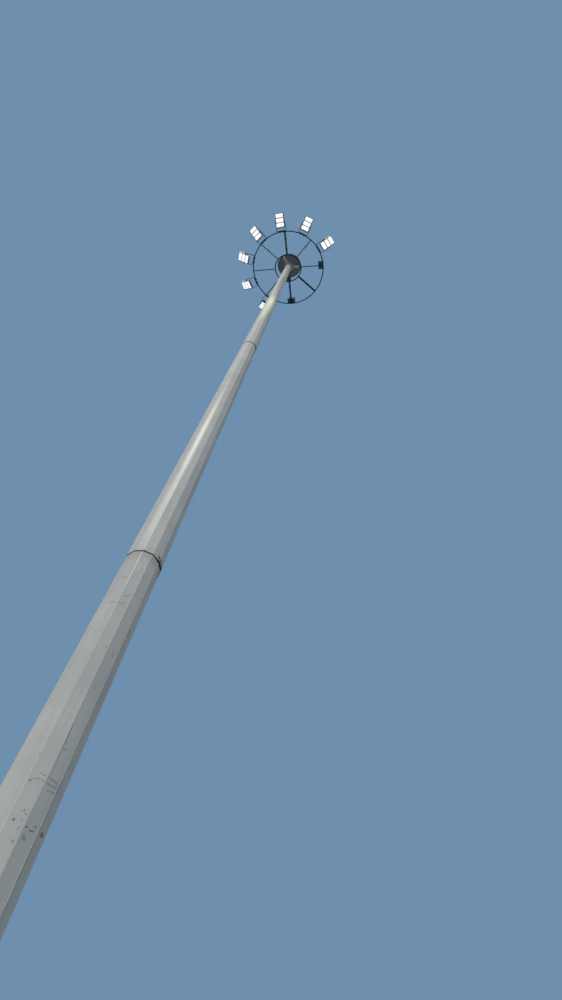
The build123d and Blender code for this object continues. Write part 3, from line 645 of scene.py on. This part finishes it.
# Galvanised and bare metal: light and dark tone, and how fine the spangle is
zinc = zinc_finish("galvanised_fittings")
weld = zinc_finish("weld_metal", light=0.56, dark=0.42, spread=20.0)
bolt_metal = zinc_finish("plated_bolts", light=0.34, dark=0.22, spread=30.0)
head_zinc = zinc_finish("head_galvanising", light=0.40, dark=0.27, spread=5.0)
door_paint = zinc_finish("door_sheet", light=0.40, dark=0.30, spread=4.0)
cooling_metal = zinc_finish("cast_cooling_fins", light=0.50, dark=0.38, spread=12.0)
rope_steel = rope_finish("rope_steel")


def coat(name, paint, worn, **look):
    """Paint of one tone, worn to another."""
    return paint_finish(name, tone(*paint), tone(*worn), **look)


seam_metal = coat("seam_metal", (0.46, 0.46, 0.45), (0.60, 0.60, 0.58), rough=0.7, wear=0.6)
# Near-black that stands in for the shade of the backlit galvanised carriage: painted shade
carriage_paint = coat("carriage_paint", (0.008, 0.018, 0.026), (0.025, 0.038, 0.045), rough=0.65)
yoke_paint = coat("yoke_paint", (0.025, 0.032, 0.038), (0.06, 0.068, 0.075), rough=0.65)
box_paint = coat("box_paint", (0.048, 0.088, 0.115), (0.080, 0.115, 0.135), rough=0.8, gloss=0.02)
plug_paint = coat("plug_box_paint", (0.042, 0.048, 0.052), (0.075, 0.080, 0.080), rough=0.6)
lamp_coat = coat("lamp_coat", (0.035, 0.038, 0.044), (0.10, 0.11, 0.12), rough=0.42, gloss=0.4)
dark_bolts = coat("dark_bolts", (0.03, 0.036, 0.042), (0.08, 0.085, 0.09), rough=0.6)
hood_paint = coat("hood_sheet", (0.215, 0.245, 0.250), (0.37, 0.385, 0.385), rough=0.6, wear=0.5)
sheave_iron = coat("sheave_iron", (0.06, 0.055, 0.05), (0.18, 0.15, 0.12), rough=0.38, wear=0.5)
# Near-black for the bands under the slip joints: painted shade of the joint gaps
gap_shade = coat("joint_gasket", (0.012, 0.012, 0.013), (0.03, 0.03, 0.03), rough=0.7)
lens_rim = coat("lens_rim", (0.45, 0.46, 0.48), (0.6, 0.6, 0.6), rough=0.6)
lens_plate = light_finish("lens_plate", low=0.74, high=0.84)
lens_dome = light_finish("lens_domes", low=1.0, high=1.15)

node_finishes = {
    "lower_section": mast_finish("lower_galvanising", LOW_JOINT, lower_marks, light=0.452),
    "middle_section": mast_finish("middle_galvanising", HIGH_JOINT, middle_marks, middle_painted_glints),
    "upper_section": mast_finish("upper_galvanising", None, upper_marks, upper_painted_light),
    "base_flange": zinc,
    "base_ribs": zinc,
    "door_frame": zinc,
    "service_door": door_paint,
    "head_frame": head_zinc,
    "rope_sheaves": sheave_iron,
    "sheave_pins": bolt_metal,
    "hood": hood_paint,
    "finial": zinc,
    "rope_anchor": zinc,
    "rope_runs": rope_steel,
    "hoist_ropes": rope_steel,
    "junction_boxes": box_paint,
    "box_lids": box_paint,
    "plug_box": plug_paint,
    "rope_lugs": carriage_paint,
}
for name, node in frame["nodes"].items():
    if name.startswith("yoke"):
        finish = yoke_paint
    elif name.startswith("floodlight"):
        finish = lamp_coat
    elif name.startswith("led_modules"):
        finish = cooling_metal
    else:
        finish = node_finishes.get(name, carriage_paint)
    node.data.materials.clear()
    node.data.materials.append(finish)


def seam_pieces():
    """Long seam welds of the three sections, on two opposite corners."""
    ends = (FLANGE_TOP, LOW_JOINT, HIGH_JOINT, MAST_TOP - SLEEVE_LENGTH - BEAD_STOP)
    seams = []
    for low_end, high_end in zip(ends, ends[1:]):
        heights = np.linspace(low_end + SEAM_MARGIN, high_end - SEAM_MARGIN, SEAM_POINTS)
        radius = across(heights) / cos(HALF_FLAT) - SEAM_SINK
        for azimuth in SEAM_AZIMUTHS:
            line = radius[:, None] * outward(azimuth) + heights[:, None] * UP
            seams.append(bead(line, SEAM_RADIUS, outward(azimuth)))
    piece("seam_welds", join(seams), seam_metal, "mast")


def shadow_band_pieces():
    """Dark bands under the slip joints, standing in for the shade in the joint gap: painted shade, nearly
    three times as deep where the joints stand open.
    """
    azimuths = np.arange(0, 360, 5.0)
    open_side = smooth_step(azimuths, *SHADOW_BAND_OPENS) - smooth_step(azimuths, *SHADOW_BAND_CLOSES)
    names = ("low_joint_seal", "high_joint_seal")
    for name, joint, step, depth in zip(names, (LOW_JOINT, HIGH_JOINT), SECTION_STEPS, SHADOW_BAND_DEPTHS):
        lip = step / 2 + SHADOW_BAND_PROUD
        drops = depth * (1 + SHADOW_BAND_DROOP * open_side)
        rings = []
        for share, proud in ((0, 0), (0, lip), (1, lip), (1.4, 0)):
            base = on_mast(azimuths, joint - SMALL_GAP, proud - SHADOW_BAND_SINK)
            rings.append(base - drops[:, None] * share * UP)
        piece(name, skin(np.stack(rings).transpose(1, 0, 2), closed=True), gap_shade, "mast")


def base_weld_pieces():
    """Beads round the foot of the mast, and along both sides of each rib."""
    floor_line = FLANGE_TOP + BEAD_LIFT
    beads = [bead(on_mast(np.arange(0, 360, 1.5), floor_line, BEAD_LIFT), FOOT_BEAD, UP, closed=True)]
    for azimuth in RIB_AZIMUTHS:
        for side in (-1, 1):
            origin, out = ring_frames(azimuth, 0.0, 0.0, side * (RIB_HALF + RIB_BEAD / 4))[0][:2]
            low = origin + out * (BASE_ACROSS / 2 + RIB_BEAD) + [0, 0, floor_line]
            beads.append(bead(straight(low, low + out * (RIB_REACH - BEAD_STOP), RIB_BEAD), RIB_BEAD, UP))
            lean = np.array([0, 0, RIB_HEIGHT - 2 * BEAD_STOP]) - out * TAPER / 2 * RIB_HEIGHT
            beads.append(bead(straight(low, low + lean, RIB_BEAD), RIB_BEAD, out))
    piece("base_welds", join(beads), weld, "mast")


def door_pieces():
    """Three hinges down one side of the door, and a key seat on each lock."""
    upper = [(0.009, 0.013), (0.0075, 0.014), (0.0075, 0.015), (0.009, 0.016), (0.009, 0.043), (0.006, 0.045)]
    knuckle = revolved([(radius, -height) for radius, height in reversed(upper)] + upper, 14)
    leaf = slab(0.084, 0.034, LEAF_THICKNESS, corner=0.006, edge=0.002)
    screw = pan_screw(HINGE_SCREW)
    normal, upright = outward(HINGE_AZIMUTH), np.array([0.0, 0.0, 1.0])
    along = np.array([-normal[1], normal[0], 0.0])
    hinges = []
    for height in (DOOR_MIDDLE - HINGE_RISE, DOOR_MIDDLE, DOOR_MIDDLE + HINGE_RISE):
        reach = across(height) + DOOR_PROUD
        share = (-DOOR_HALF - normal[0] * reach) / along[0]
        edge = normal * reach + along * share + height * upright
        hinges.append(copies(knuckle, [[edge, along, normal, upright]]))
        for step, sunk in ((LEAF_STEP, 0.001), (-LEAF_STEP, 0.012)):
            seat = edge + along * step - normal * sunk
            hinges.append(copies(leaf, [[seat, upright, along, normal]]))
            for rise in (-LEAF_SCREW, LEAF_SCREW):
                head = seat + normal * LEAF_THICKNESS + rise * upright
                hinges.append(copies(screw, [[head, upright, along, normal]]))
    piece("door_hinges", join(hinges), zinc, "mast")
    rim = revolved([(0.013, 0), (0.013, 0.003), (0.0105, 0.004), (0.009, 0.002)], 20)
    key = revolved([(0.007, 0.001), (0.007, 0.006), (0.006, 0.007)], 3)
    face = float(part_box("service_door")[0].y)
    places = [(0, face, DOOR_MIDDLE - LOCK_RISE), (0, face, DOOR_MIDDLE + LOCK_RISE)]
    seats = copies(join([rim, key]), frames_at(places, (0, -1, 0), UP))
    piece("door_lock_keys", seats, bolt_metal, "mast")


def head_pieces():
    """Set bolts of the head sleeve, hood bolts and rivets, the hood's rolled rim and ribs."""
    sleeve = []
    for drop in SLEEVE_BOLT_DROPS:
        reach = across(MAST_TOP - drop) + SLEEVE_WALL + FIT_GAP
        places = ring_frames(np.arange(0, 360, 60), reach, MAST_TOP - drop)
        sleeve.append(copies(hex_nut(SLEEVE_NUT), turned(places, (1, 2, 0))))
    piece("sleeve_bolts", join(sleeve), bolt_metal, "mast")

    tabs = ring_frames(ROPE_AZIMUTHS, HOOD_TAB_CIRCLE, crown(HOOD_TAB_CIRCLE))[:, 0]
    tops = copies(hex_bolt(HOOD_BOLT), frames_at(tabs, unit(tabs - [0, 0, HOOD_CENTRE]), UP))
    rivets = ring_frames(np.arange(0, 360, 15), HOOD_RADIUS, HOOD_RIM - HOOD_SKIRT / 2)
    studs = copies(pan_screw(HOOD_RIVET), turned(rivets, (1, 2, 0)))
    piece("hood_bolts", join([tops, studs]), dark_bolts, "mast")

    rim = ring_frames(np.arange(0, 360, 4.0), HOOD_RADIUS - HOOD_RIM_BEAD / 3, HOOD_RIM - HOOD_SKIRT)[:, 0]
    shapes = [swept(rim, HOOD_RIM_BEAD, 8, UP, closed=True)]
    radius = np.linspace(*HOOD_RIB_ENDS, 26)
    for azimuth in range(0, 360, 45):
        line = radius[:, None] * outward(azimuth) + crown(radius)[:, None] * UP
        shapes.append(swept(line, HOOD_RIB, 8, UP))
    piece("hood_rim_and_ribs", join(shapes), hood_paint, "mast")


def rope_pieces():
    """Laid ropes: fixed runs over the sheaves and down the mast, and the lengths that hold the carriage."""
    outer, inner = ROPE_CIRCLE - ROPE_BEND, INNER_ROPE_CIRCLE + ROPE_BEND
    bend = np.linspace(0, pi / 2, 24)
    sine, cosine = ROPE_BEND * np.sin(bend), ROPE_BEND * np.cos(bend)
    over_outer = np.stack([outer + cosine, SHEAVE_HEIGHT + sine], -1)
    level = straight((outer, SHEAVE_HEIGHT + ROPE_BEND), (inner, SHEAVE_HEIGHT + ROPE_BEND), ROPE_STEP)
    over_inner = np.stack([inner - sine, SHEAVE_HEIGHT + cosine], -1)
    shown_end = SHEAVE_HEIGHT - LAID_LENGTH
    near = straight((INNER_ROPE_CIRCLE, SHEAVE_HEIGHT), (INNER_ROPE_CIRCLE, shown_end), ROPE_STEP)
    far = straight((INNER_ROPE_CIRCLE, shown_end), (INNER_ROPE_CIRCLE, ANCHOR_TOP), 1.0)
    route = np.concatenate([over_outer] + [part[1:] for part in (level, over_inner, near, far)])
    fixed, free = [], []
    for azimuth in ROPE_AZIMUTHS:
        _, out, along, up = ring_frames(azimuth, 0.0, 0.0)[0]
        fixed.append(twisted(route[:, :1] * out + route[:, 1:] * up, ROPE_RADIUS, ROPE_LAY, along))
        socket, sheave = out * ROPE_CIRCLE + up * SOCKET_TOP, out * ROPE_CIRCLE + up * SHEAVE_HEIGHT
        free.append(twisted(straight(socket, sheave, ROPE_STEP), ROPE_RADIUS, ROPE_LAY, along))
    runs = piece("laid_rope_runs", join(fixed), rope_steel, "mast", smooth=60)
    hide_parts("rope_runs")
    hoist = piece("laid_hoist_ropes", join(free), rope_steel, smooth=60)
    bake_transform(hoist)
    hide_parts("hoist_ropes")


def spoke_weld(azimuth, offset, tube):
    """Beads where a spoke meets the rings: at an angle t round the spoke, y = offset + r cos t and
    z = r sin t, and x puts the point on the ring's round tube."""
    t = np.arange(0, 2 * pi, pi / 20)
    y = offset + tube / 2 * np.cos(t)
    z = tube / 2 * np.sin(t)
    outer = np.sqrt((RING_RADIUS - np.sqrt((RING_TUBE / 2) ** 2 - z**2)) ** 2 - y**2)
    inner = np.sqrt((INNER_RADIUS + np.sqrt((INNER_TUBE / 2) ** 2 - z**2)) ** 2 - y**2)
    axes = ring_frames(azimuth, 0.0, RING_HEIGHT)[0]
    lines = [axes[0] + np.stack([x, y, z], -1) @ axes[1:] for x in (outer, inner)]
    return join([bead(line, SPOKE_BEAD, axes[1], closed=True) for line in lines])


def spoke_pieces():
    """Welds at the ends of the spokes and the conduit, and the clips on four spokes."""
    shift = (SPLIT_GAP + SPOKE_TUBE) / 2
    turn = 360 / SPOKE_COUNT
    welds = []
    for number in range(SPOKE_COUNT):
        for side in (-shift, shift) if number % 4 == 2 else (0.0,):
            welds.append(spoke_weld(number * turn, side, SPOKE_TUBE))
    beside = -(SPOKE_TUBE + CONDUIT_TUBE) / 2 - FIT_GAP
    welds.append(spoke_weld(CONDUIT_AZIMUTH, beside, CONDUIT_TUBE))
    piece("spoke_welds", join(welds), carriage_paint, "carriage")

    half, bore = CLIP_WIDTH / 2, SPOKE_TUBE / 2 - SMALL_GAP
    face = SPOKE_TUBE / 2 + CLIP_WALL
    clip = revolved([(bore, -half), (face, 0.001 - half), (face, half - 0.001), (bore, half)], 24)
    seats = ring_frames(CLIP_AZIMUTHS, np.array(CLIP_CIRCLES)[:, None], RING_HEIGHT)
    lugs, sides = seats.copy(), seats.copy()
    lugs[:, 0] -= [0, 0, SPOKE_TUBE / 2 + CLIP_LUG]
    sides[:, 0] += seats[:, 2] * CLIP_WALL - [0, 0, SPOKE_TUBE / 2 + CLIP_BOLT_DROP]
    clamps = [
        copies(clip, turned(seats, (1, 2, 0))),
        copies(slab(CLIP_WIDTH, 2 * CLIP_WALL, 0.022, corner=0.003, edge=0.0015), lugs),
        copies(hex_bolt(CLIP_BOLT), turned(sides, (2, 0, 1))),
    ]
    piece("spoke_clips", join(clamps), carriage_paint, "carriage")


def carriage_bolt_pieces():
    """Bolts through the ears of the split rings and through the splice plates."""
    bolt, nut = hex_bolt(CARRIAGE_BOLT), hex_nut(CARRIAGE_BOLT)
    long_bolt = hex_bolt(CARRIAGE_BOLT, 2 * EAR_FACE)
    bolts = []
    for radius in (RING_RADIUS, INNER_RADIUS):
        for side in (-1, 1):
            steps = [side * radius - EAR_BOLT_STEP, side * radius + EAR_BOLT_STEP]
            heads = frames_at([(EAR_FACE, y, EAR_MIDDLE) for y in steps], LENGTHWAYS, UP)
            ends = frames_at([(-EAR_FACE, y, EAR_MIDDLE) for y in steps], (-1, 0, 0), UP)
            bolts += [copies(long_bolt, heads), copies(nut, ends)]
    steps = (-SPLICE_BOLT_STEP, SPLICE_BOLT_STEP)
    corners = [(x, y) for x in steps for y in steps]
    for circle in SPLICE_CIRCLES:
        for side in (-1, 1):
            above = [(x, side * circle + y, RING_HEIGHT + SPLICE_FACE) for x, y in corners]
            under = [(x, side * circle + y, RING_HEIGHT - SPLICE_FACE) for x, y in corners]
            bolts.append(copies(bolt, frames_at(above, UP, LENGTHWAYS)))
            bolts.append(copies(nut, frames_at(under, DOWN, LENGTHWAYS)))
    piece("carriage_bolts", join(bolts), dark_bolts, "carriage")


def yoke_pieces():
    """Ears and bolts of the clamps on the outer ring, and the thin lips of the yokes."""
    azimuths = [np.degrees(np.arctan2(joint["pos_m"][1], joint["pos_m"][0])) for joint in lamp_joints]
    ear = slab(CLAMP_LENGTH, CLAMP_WIDTH, CLAMP_PLATE, corner=0.008, edge=0.0015)
    outside = CLAMP_GAP + CLAMP_PLATE
    bolt, nut = hex_bolt(CLAMP_BOLT, 2 * outside), hex_nut(CLAMP_BOLT)
    ears, bolts, lips = [], [], []
    for azimuth in azimuths:
        both = (azimuth - CLAMP_TURN, azimuth + CLAMP_TURN)
        ears.append(copies(ear, ring_frames(both, CLAMP_CIRCLE, RING_HEIGHT + CLAMP_GAP)))
        ears.append(copies(ear, ring_frames(both, CLAMP_CIRCLE, RING_HEIGHT - outside)))
        bolts.append(copies(bolt, ring_frames(both, CLAMP_BOLT_CIRCLE, RING_HEIGHT + outside)))
        under = ring_frames(both, CLAMP_BOLT_CIRCLE, RING_HEIGHT - outside)[:, 0]
        bolts.append(copies(nut, frames_at(under, DOWN, LENGTHWAYS)))
    piece("clamp_ears", join(ears), yoke_paint, "carriage")
    piece("clamp_bolts", join(bolts), dark_bolts, "carriage")

    lip = slab(YOKE_REACH - 2 * LIP_MARGIN, LIP_WIDTH, LIP_THICKNESS, corner=0.003, edge=0.001)
    cross = slab(LIP_WIDTH, 2 * YOKE_HALF - 0.004, LIP_THICKNESS, corner=0.003, edge=0.001)
    beside = YOKE_BAR + LIP_WIDTH / 2 - SMALL_GAP
    for azimuth in azimuths:
        for height in (RING_HEIGHT - YOKE_DROP, RING_HEIGHT + YOKE_DROP - LIP_THICKNESS):
            for side in (-1, 1):
                seat = ring_frames(azimuth, YOKE_FACE + YOKE_REACH / 2, height, side * (YOKE_HALF + beside))
                lips.append(copies(lip, seat))
            lips.append(copies(cross, ring_frames(azimuth, YOKE_FACE + beside, height)))
    piece("yoke_lips", join(lips), yoke_paint, "carriage")


def box_pieces():
    """Lid panels, screws and cable glands of the junction boxes, and the sockets under the plug box."""
    long, broad = BOX_DEPTH - 2 * PANEL_MARGIN, BOX_WIDTH - 2 * PANEL_MARGIN
    panel = slab(long, broad, PANEL_THICKNESS, corner=0.012, edge=0.0015)
    nut = revolved([(0.016, -0.0005), (0.016, -0.008), (0.0145, -0.0095)], 6)
    cap = revolved([(0.0125, 0.007 - GLAND_LENGTH), (0.0132, 0.003 - GLAND_LENGTH),
                    (0.0105, -0.005 - GLAND_LENGTH), (0.006, -0.007 - GLAND_LENGTH)], 14)
    deep, wide = BOX_DEPTH / 2 - SCREW_MARGIN, BOX_WIDTH / 2 - SCREW_MARGIN
    corners = [(x * deep, y * wide, 0) for x in (-1, 1) for y in (-1, 1)]
    panels, screws = [], []
    for azimuth in BOX_AZIMUTHS:
        lid = ring_frames(azimuth, BOX_CIRCLE, BOX_FLOOR + BOX_HEIGHT + LID)[0]
        panels.append(copies(panel, [lid]))
        screws.append(copies(pan_screw(BOX_SCREW), inside(lid, corners)))
        floor = ring_frames(azimuth, GLAND_CIRCLE, BOX_FLOOR)[0]
        panels.append(copies(join([nut, cap]), inside(floor, [(0, y, 0) for y in GLAND_PLACES])))
    low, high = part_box("plug_box")
    socket = revolved([(0.031, 0.0005), (0.031, -0.004), (0.026, -0.005), (0.026, -0.02), (0.028, -0.021),
                       (0.028, -0.027), (0.024, -0.030)], 24)
    x, y = (low.x + high.x) / 2, (low.y + high.y) / 2
    places = [(x - SOCKET_STEP, y, low.z), (x + SOCKET_STEP, y, low.z)]
    panels.append(copies(socket, frames_at(places, UP, CROSSWAYS)))
    piece("box_panels_and_glands", join(panels), box_paint, "carriage")
    piece("box_screws", join(screws), bolt_metal, "carriage")


def lamp_frame(joint):
    """A lamp's own frame: x outwards along it and raised by its aim, y along the ring, z out of its back."""
    middle = np.array(joint["pos_m"])
    aim = radians(-joint["range_deg"][0])
    out = unit(middle * [1, 1, 0])
    up = np.array([0, 0, 1.0])
    along, back = out * cos(aim) + up * sin(aim), up * cos(aim) - out * sin(aim)
    return np.stack([middle, along, np.cross(up, out), back])


def lens_shapes():
    """Lens domes, the glowing plate under them, and the rims and screws round each plate."""
    turn = np.linspace(0, pi / 2 * 0.9, 4)
    dome = revolved(np.stack([DOME_RADIUS * np.cos(turn), -DOME_DEPTH * np.sin(turn)], -1), 10)
    plate = slab(LENS_LENGTH - 0.012, LENS_WIDTH - 0.018, 0.0012, LENS_CORNER - 0.003, edge=0.0008)
    rim = outline(LENS_LENGTH + 0.004, LENS_WIDTH + 0.004, LENS_CORNER + 0.002, 7)
    rows = (np.arange(LENS_ROWS) - (LENS_ROWS - 1) / 2) * ROW_STEP
    columns = (np.arange(LENS_COLUMNS) - (LENS_COLUMNS - 1) / 2) * COLUMN_STEP
    edge = MODULE_WIDTH / 2 - LENS_SCREW_MARGIN
    domes, plates, rims, screws = [], [], [], []
    for shift in (-MODULE_PITCH, 0, MODULE_PITCH):
        grid = np.stack(np.meshgrid(rows + shift, columns, [LENS_FACE], indexing="ij"), -1).reshape(-1, 3)
        domes.append(copies(dome, frames_at(grid, UP, CROSSWAYS)))
        plates.append(copies(plate, frames_at((shift, 0, LENS_FACE), DOWN, (0, -1, 0))))
        path = raised(rim, LENS_FACE + RIM_LIFT) + [shift, 0, 0]
        rims.append(swept(path, RIM_RADIUS, 8, UP, closed=True))
        places = [(shift + x, y, -RAIL_DEPTH) for x in LENS_SCREW_STEPS for y in (-edge, edge)]
        screws.append(copies(pan_screw(LENS_SCREW), frames_at(places, DOWN, (0, -1, 0))))
    return join(domes), join(plates), join(rims), join(screws)


def back_shapes():
    """Ribs, lid screws and cable gland of the driver box, and the screws along the rails."""
    rib = slab(DRIVER_LENGTH - 0.03, 0.006, 0.007, corner=0.0028, edge=0.002)
    rows = [(0, y, DRIVER_TOP - SMALL_GAP) for y in RIB_ROWS]
    nut = revolved([(0.014, -0.001), (0.014, 0.006), (0.0125, 0.0075)], 6)
    cap = revolved([(0.0095, 0.007), (0.0095, 0.018), (0.0065, 0.024)], 14)
    end = (-DRIVER_LENGTH / 2, GLAND_SIDE, GLAND_RISE)
    gland = copies(join([nut, cap]), frames_at(end, (-1, 0, 0), DOWN))
    screw = pan_screw(DRIVER_SCREW)
    deep, wide = DRIVER_LENGTH / 2 - SCREW_MARGIN, DRIVER_WIDTH / 2 - SCREW_MARGIN
    corners = [(x * deep, y * wide, DRIVER_TOP) for x in (-1, 1) for y in (-1, 1)]
    screws = [copies(screw, frames_at(corners, UP, CROSSWAYS))]
    for side in (-1, 1):
        places = [(x, side * RAIL_FACE, 0.0) for x in RAIL_SCREWS]
        screws.append(copies(screw, frames_at(places, (0, side, 0), (0, 0, -side))))
    return join([copies(rib, frames_at(rows, UP, CROSSWAYS)), gland]), join(screws)


def lamp_pieces():
    """Lenses, rims, screws and driver ribs of every lamp."""
    domes, plates, rims, screws = lens_shapes()
    ribs, fasteners = back_shapes()
    for joint in lamp_joints:
        body, axes = joint["child"], [lamp_frame(joint)]
        piece(f"{body}_lens_domes", copies(domes, axes), lens_dome, body)
        piece(f"{body}_lens_plates", copies(plates, axes), lens_plate, body)
        piece(f"{body}_lens_rims", copies(rims, axes), lens_rim, body)
        piece(f"{body}_driver_ribs", copies(ribs, axes), lamp_coat, body)
        piece(f"{body}_screws", copies(join([screws, fasteners]), axes), bolt_metal, body)


seam_pieces()
shadow_band_pieces()
base_weld_pieces()
door_pieces()
head_pieces()
rope_pieces()
spoke_pieces()
carriage_bolt_pieces()
yoke_pieces()
box_pieces()
lamp_pieces()

# Camera at the photo's place: at eye height beside the mast, tilted up and rolled
EYE = (-3.215, 5.145, 1.6)
VIEW_AZIMUTH, VIEW_ELEVATION, VIEW_ROLL = -73.594, radians(60.846), radians(12.346)
LENS, SENSOR, FAR_END = 26.0, 36.0, 6000
ahead = cos(VIEW_ELEVATION) * outward(VIEW_AZIMUTH) + [0, 0, sin(VIEW_ELEVATION)]
level = outward(VIEW_AZIMUTH - 90)
over = np.cross(level, ahead)
right = cos(VIEW_ROLL) * level + sin(VIEW_ROLL) * over
turn = Matrix(np.stack([right, np.cross(right, ahead), -ahead], 1).tolist())
camera_data = bpy.data.cameras.new("camera")
camera_data.lens, camera_data.sensor_width, camera_data.clip_end = LENS, SENSOR, FAR_END
camera = bpy.data.objects.new("camera", camera_data)
camera.matrix_world = Matrix.Translation(EYE) @ turn.to_4x4()
bpy.context.scene.collection.objects.link(camera)
bpy.context.scene.camera = camera


def sun(name, azimuth, elevation, spread, strength, colour):
    """Distant lamp in a direction, with the spread of its disc in degrees."""
    data = bpy.data.lights.new(name, "SUN")
    data.angle, data.energy, data.color = radians(spread), strength, colour
    lamp = bpy.data.objects.new(name, data)
    z = cos(radians(elevation)) * outward(azimuth) + [0, 0, sin(radians(elevation))]
    x = outward(azimuth + 90)
    lamp.matrix_world = Matrix(np.stack([x, np.cross(z, x), z], 1).tolist()).to_4x4()
    bpy.context.scene.collection.objects.link(lamp)


sun("key", azimuth=79, elevation=60, spread=45, strength=3.45, colour=(1.0, 0.95, 0.86))

FLOOR_HALF, FLOOR_TONE = 2000.0, tone(0.27, 0.295, 0.32)
corners = [(-FLOOR_HALF, -FLOOR_HALF, 0), (FLOOR_HALF, -FLOOR_HALF, 0), (FLOOR_HALF, FLOOR_HALF, 0),
           (-FLOOR_HALF, FLOOR_HALF, 0)]
floor_mesh = bpy.data.meshes.new("floor")
floor_mesh.from_pydata(corners, [], [(0, 1, 2, 3)])
floor_mesh.materials.append(Finish("floor").surface(Base_Color=FLOOR_TONE, Roughness=0.9))
floor_object = bpy.data.objects.new("floor", floor_mesh)
bpy.context.scene.collection.objects.link(floor_object)

# Sky: plain blue where it is seen or mirrored, and a paler soft light everywhere else
SKY_TONE, SOFT_TONE, SOFT_STRENGTH = tone(0.156, 0.275, 0.418), tone(0.62, 0.80, 1.0), 0.42
world = bpy.data.worlds.new("world")
world.use_nodes = True
bpy.context.scene.world = world
links, shades = world.node_tree.links, world.node_tree.nodes
shades.clear()
path = shades.new("ShaderNodeLightPath")
seen = path.outputs["Is Camera Ray"]
for kind in ("Is Glossy Ray", "Is Transmission Ray"):
    either = shades.new("ShaderNodeMath")
    either.operation = "MAXIMUM"
    links.new(seen, either.inputs[0])
    links.new(path.outputs[kind], either.inputs[1])
    seen = either.outputs[0]
soft, sky = shades.new("ShaderNodeBackground"), shades.new("ShaderNodeBackground")
soft.inputs["Color"].default_value, soft.inputs["Strength"].default_value = SOFT_TONE, SOFT_STRENGTH
sky.inputs["Color"].default_value = SKY_TONE
blend = shades.new("ShaderNodeMixShader")
links.new(seen, blend.inputs[0])
links.new(soft.outputs[0], blend.inputs[1])
links.new(sky.outputs[0], blend.inputs[2])
links.new(blend.outputs[0], shades.new("ShaderNodeOutputWorld").inputs["Surface"])
bpy.context.scene.view_settings.view_transform = "Standard"
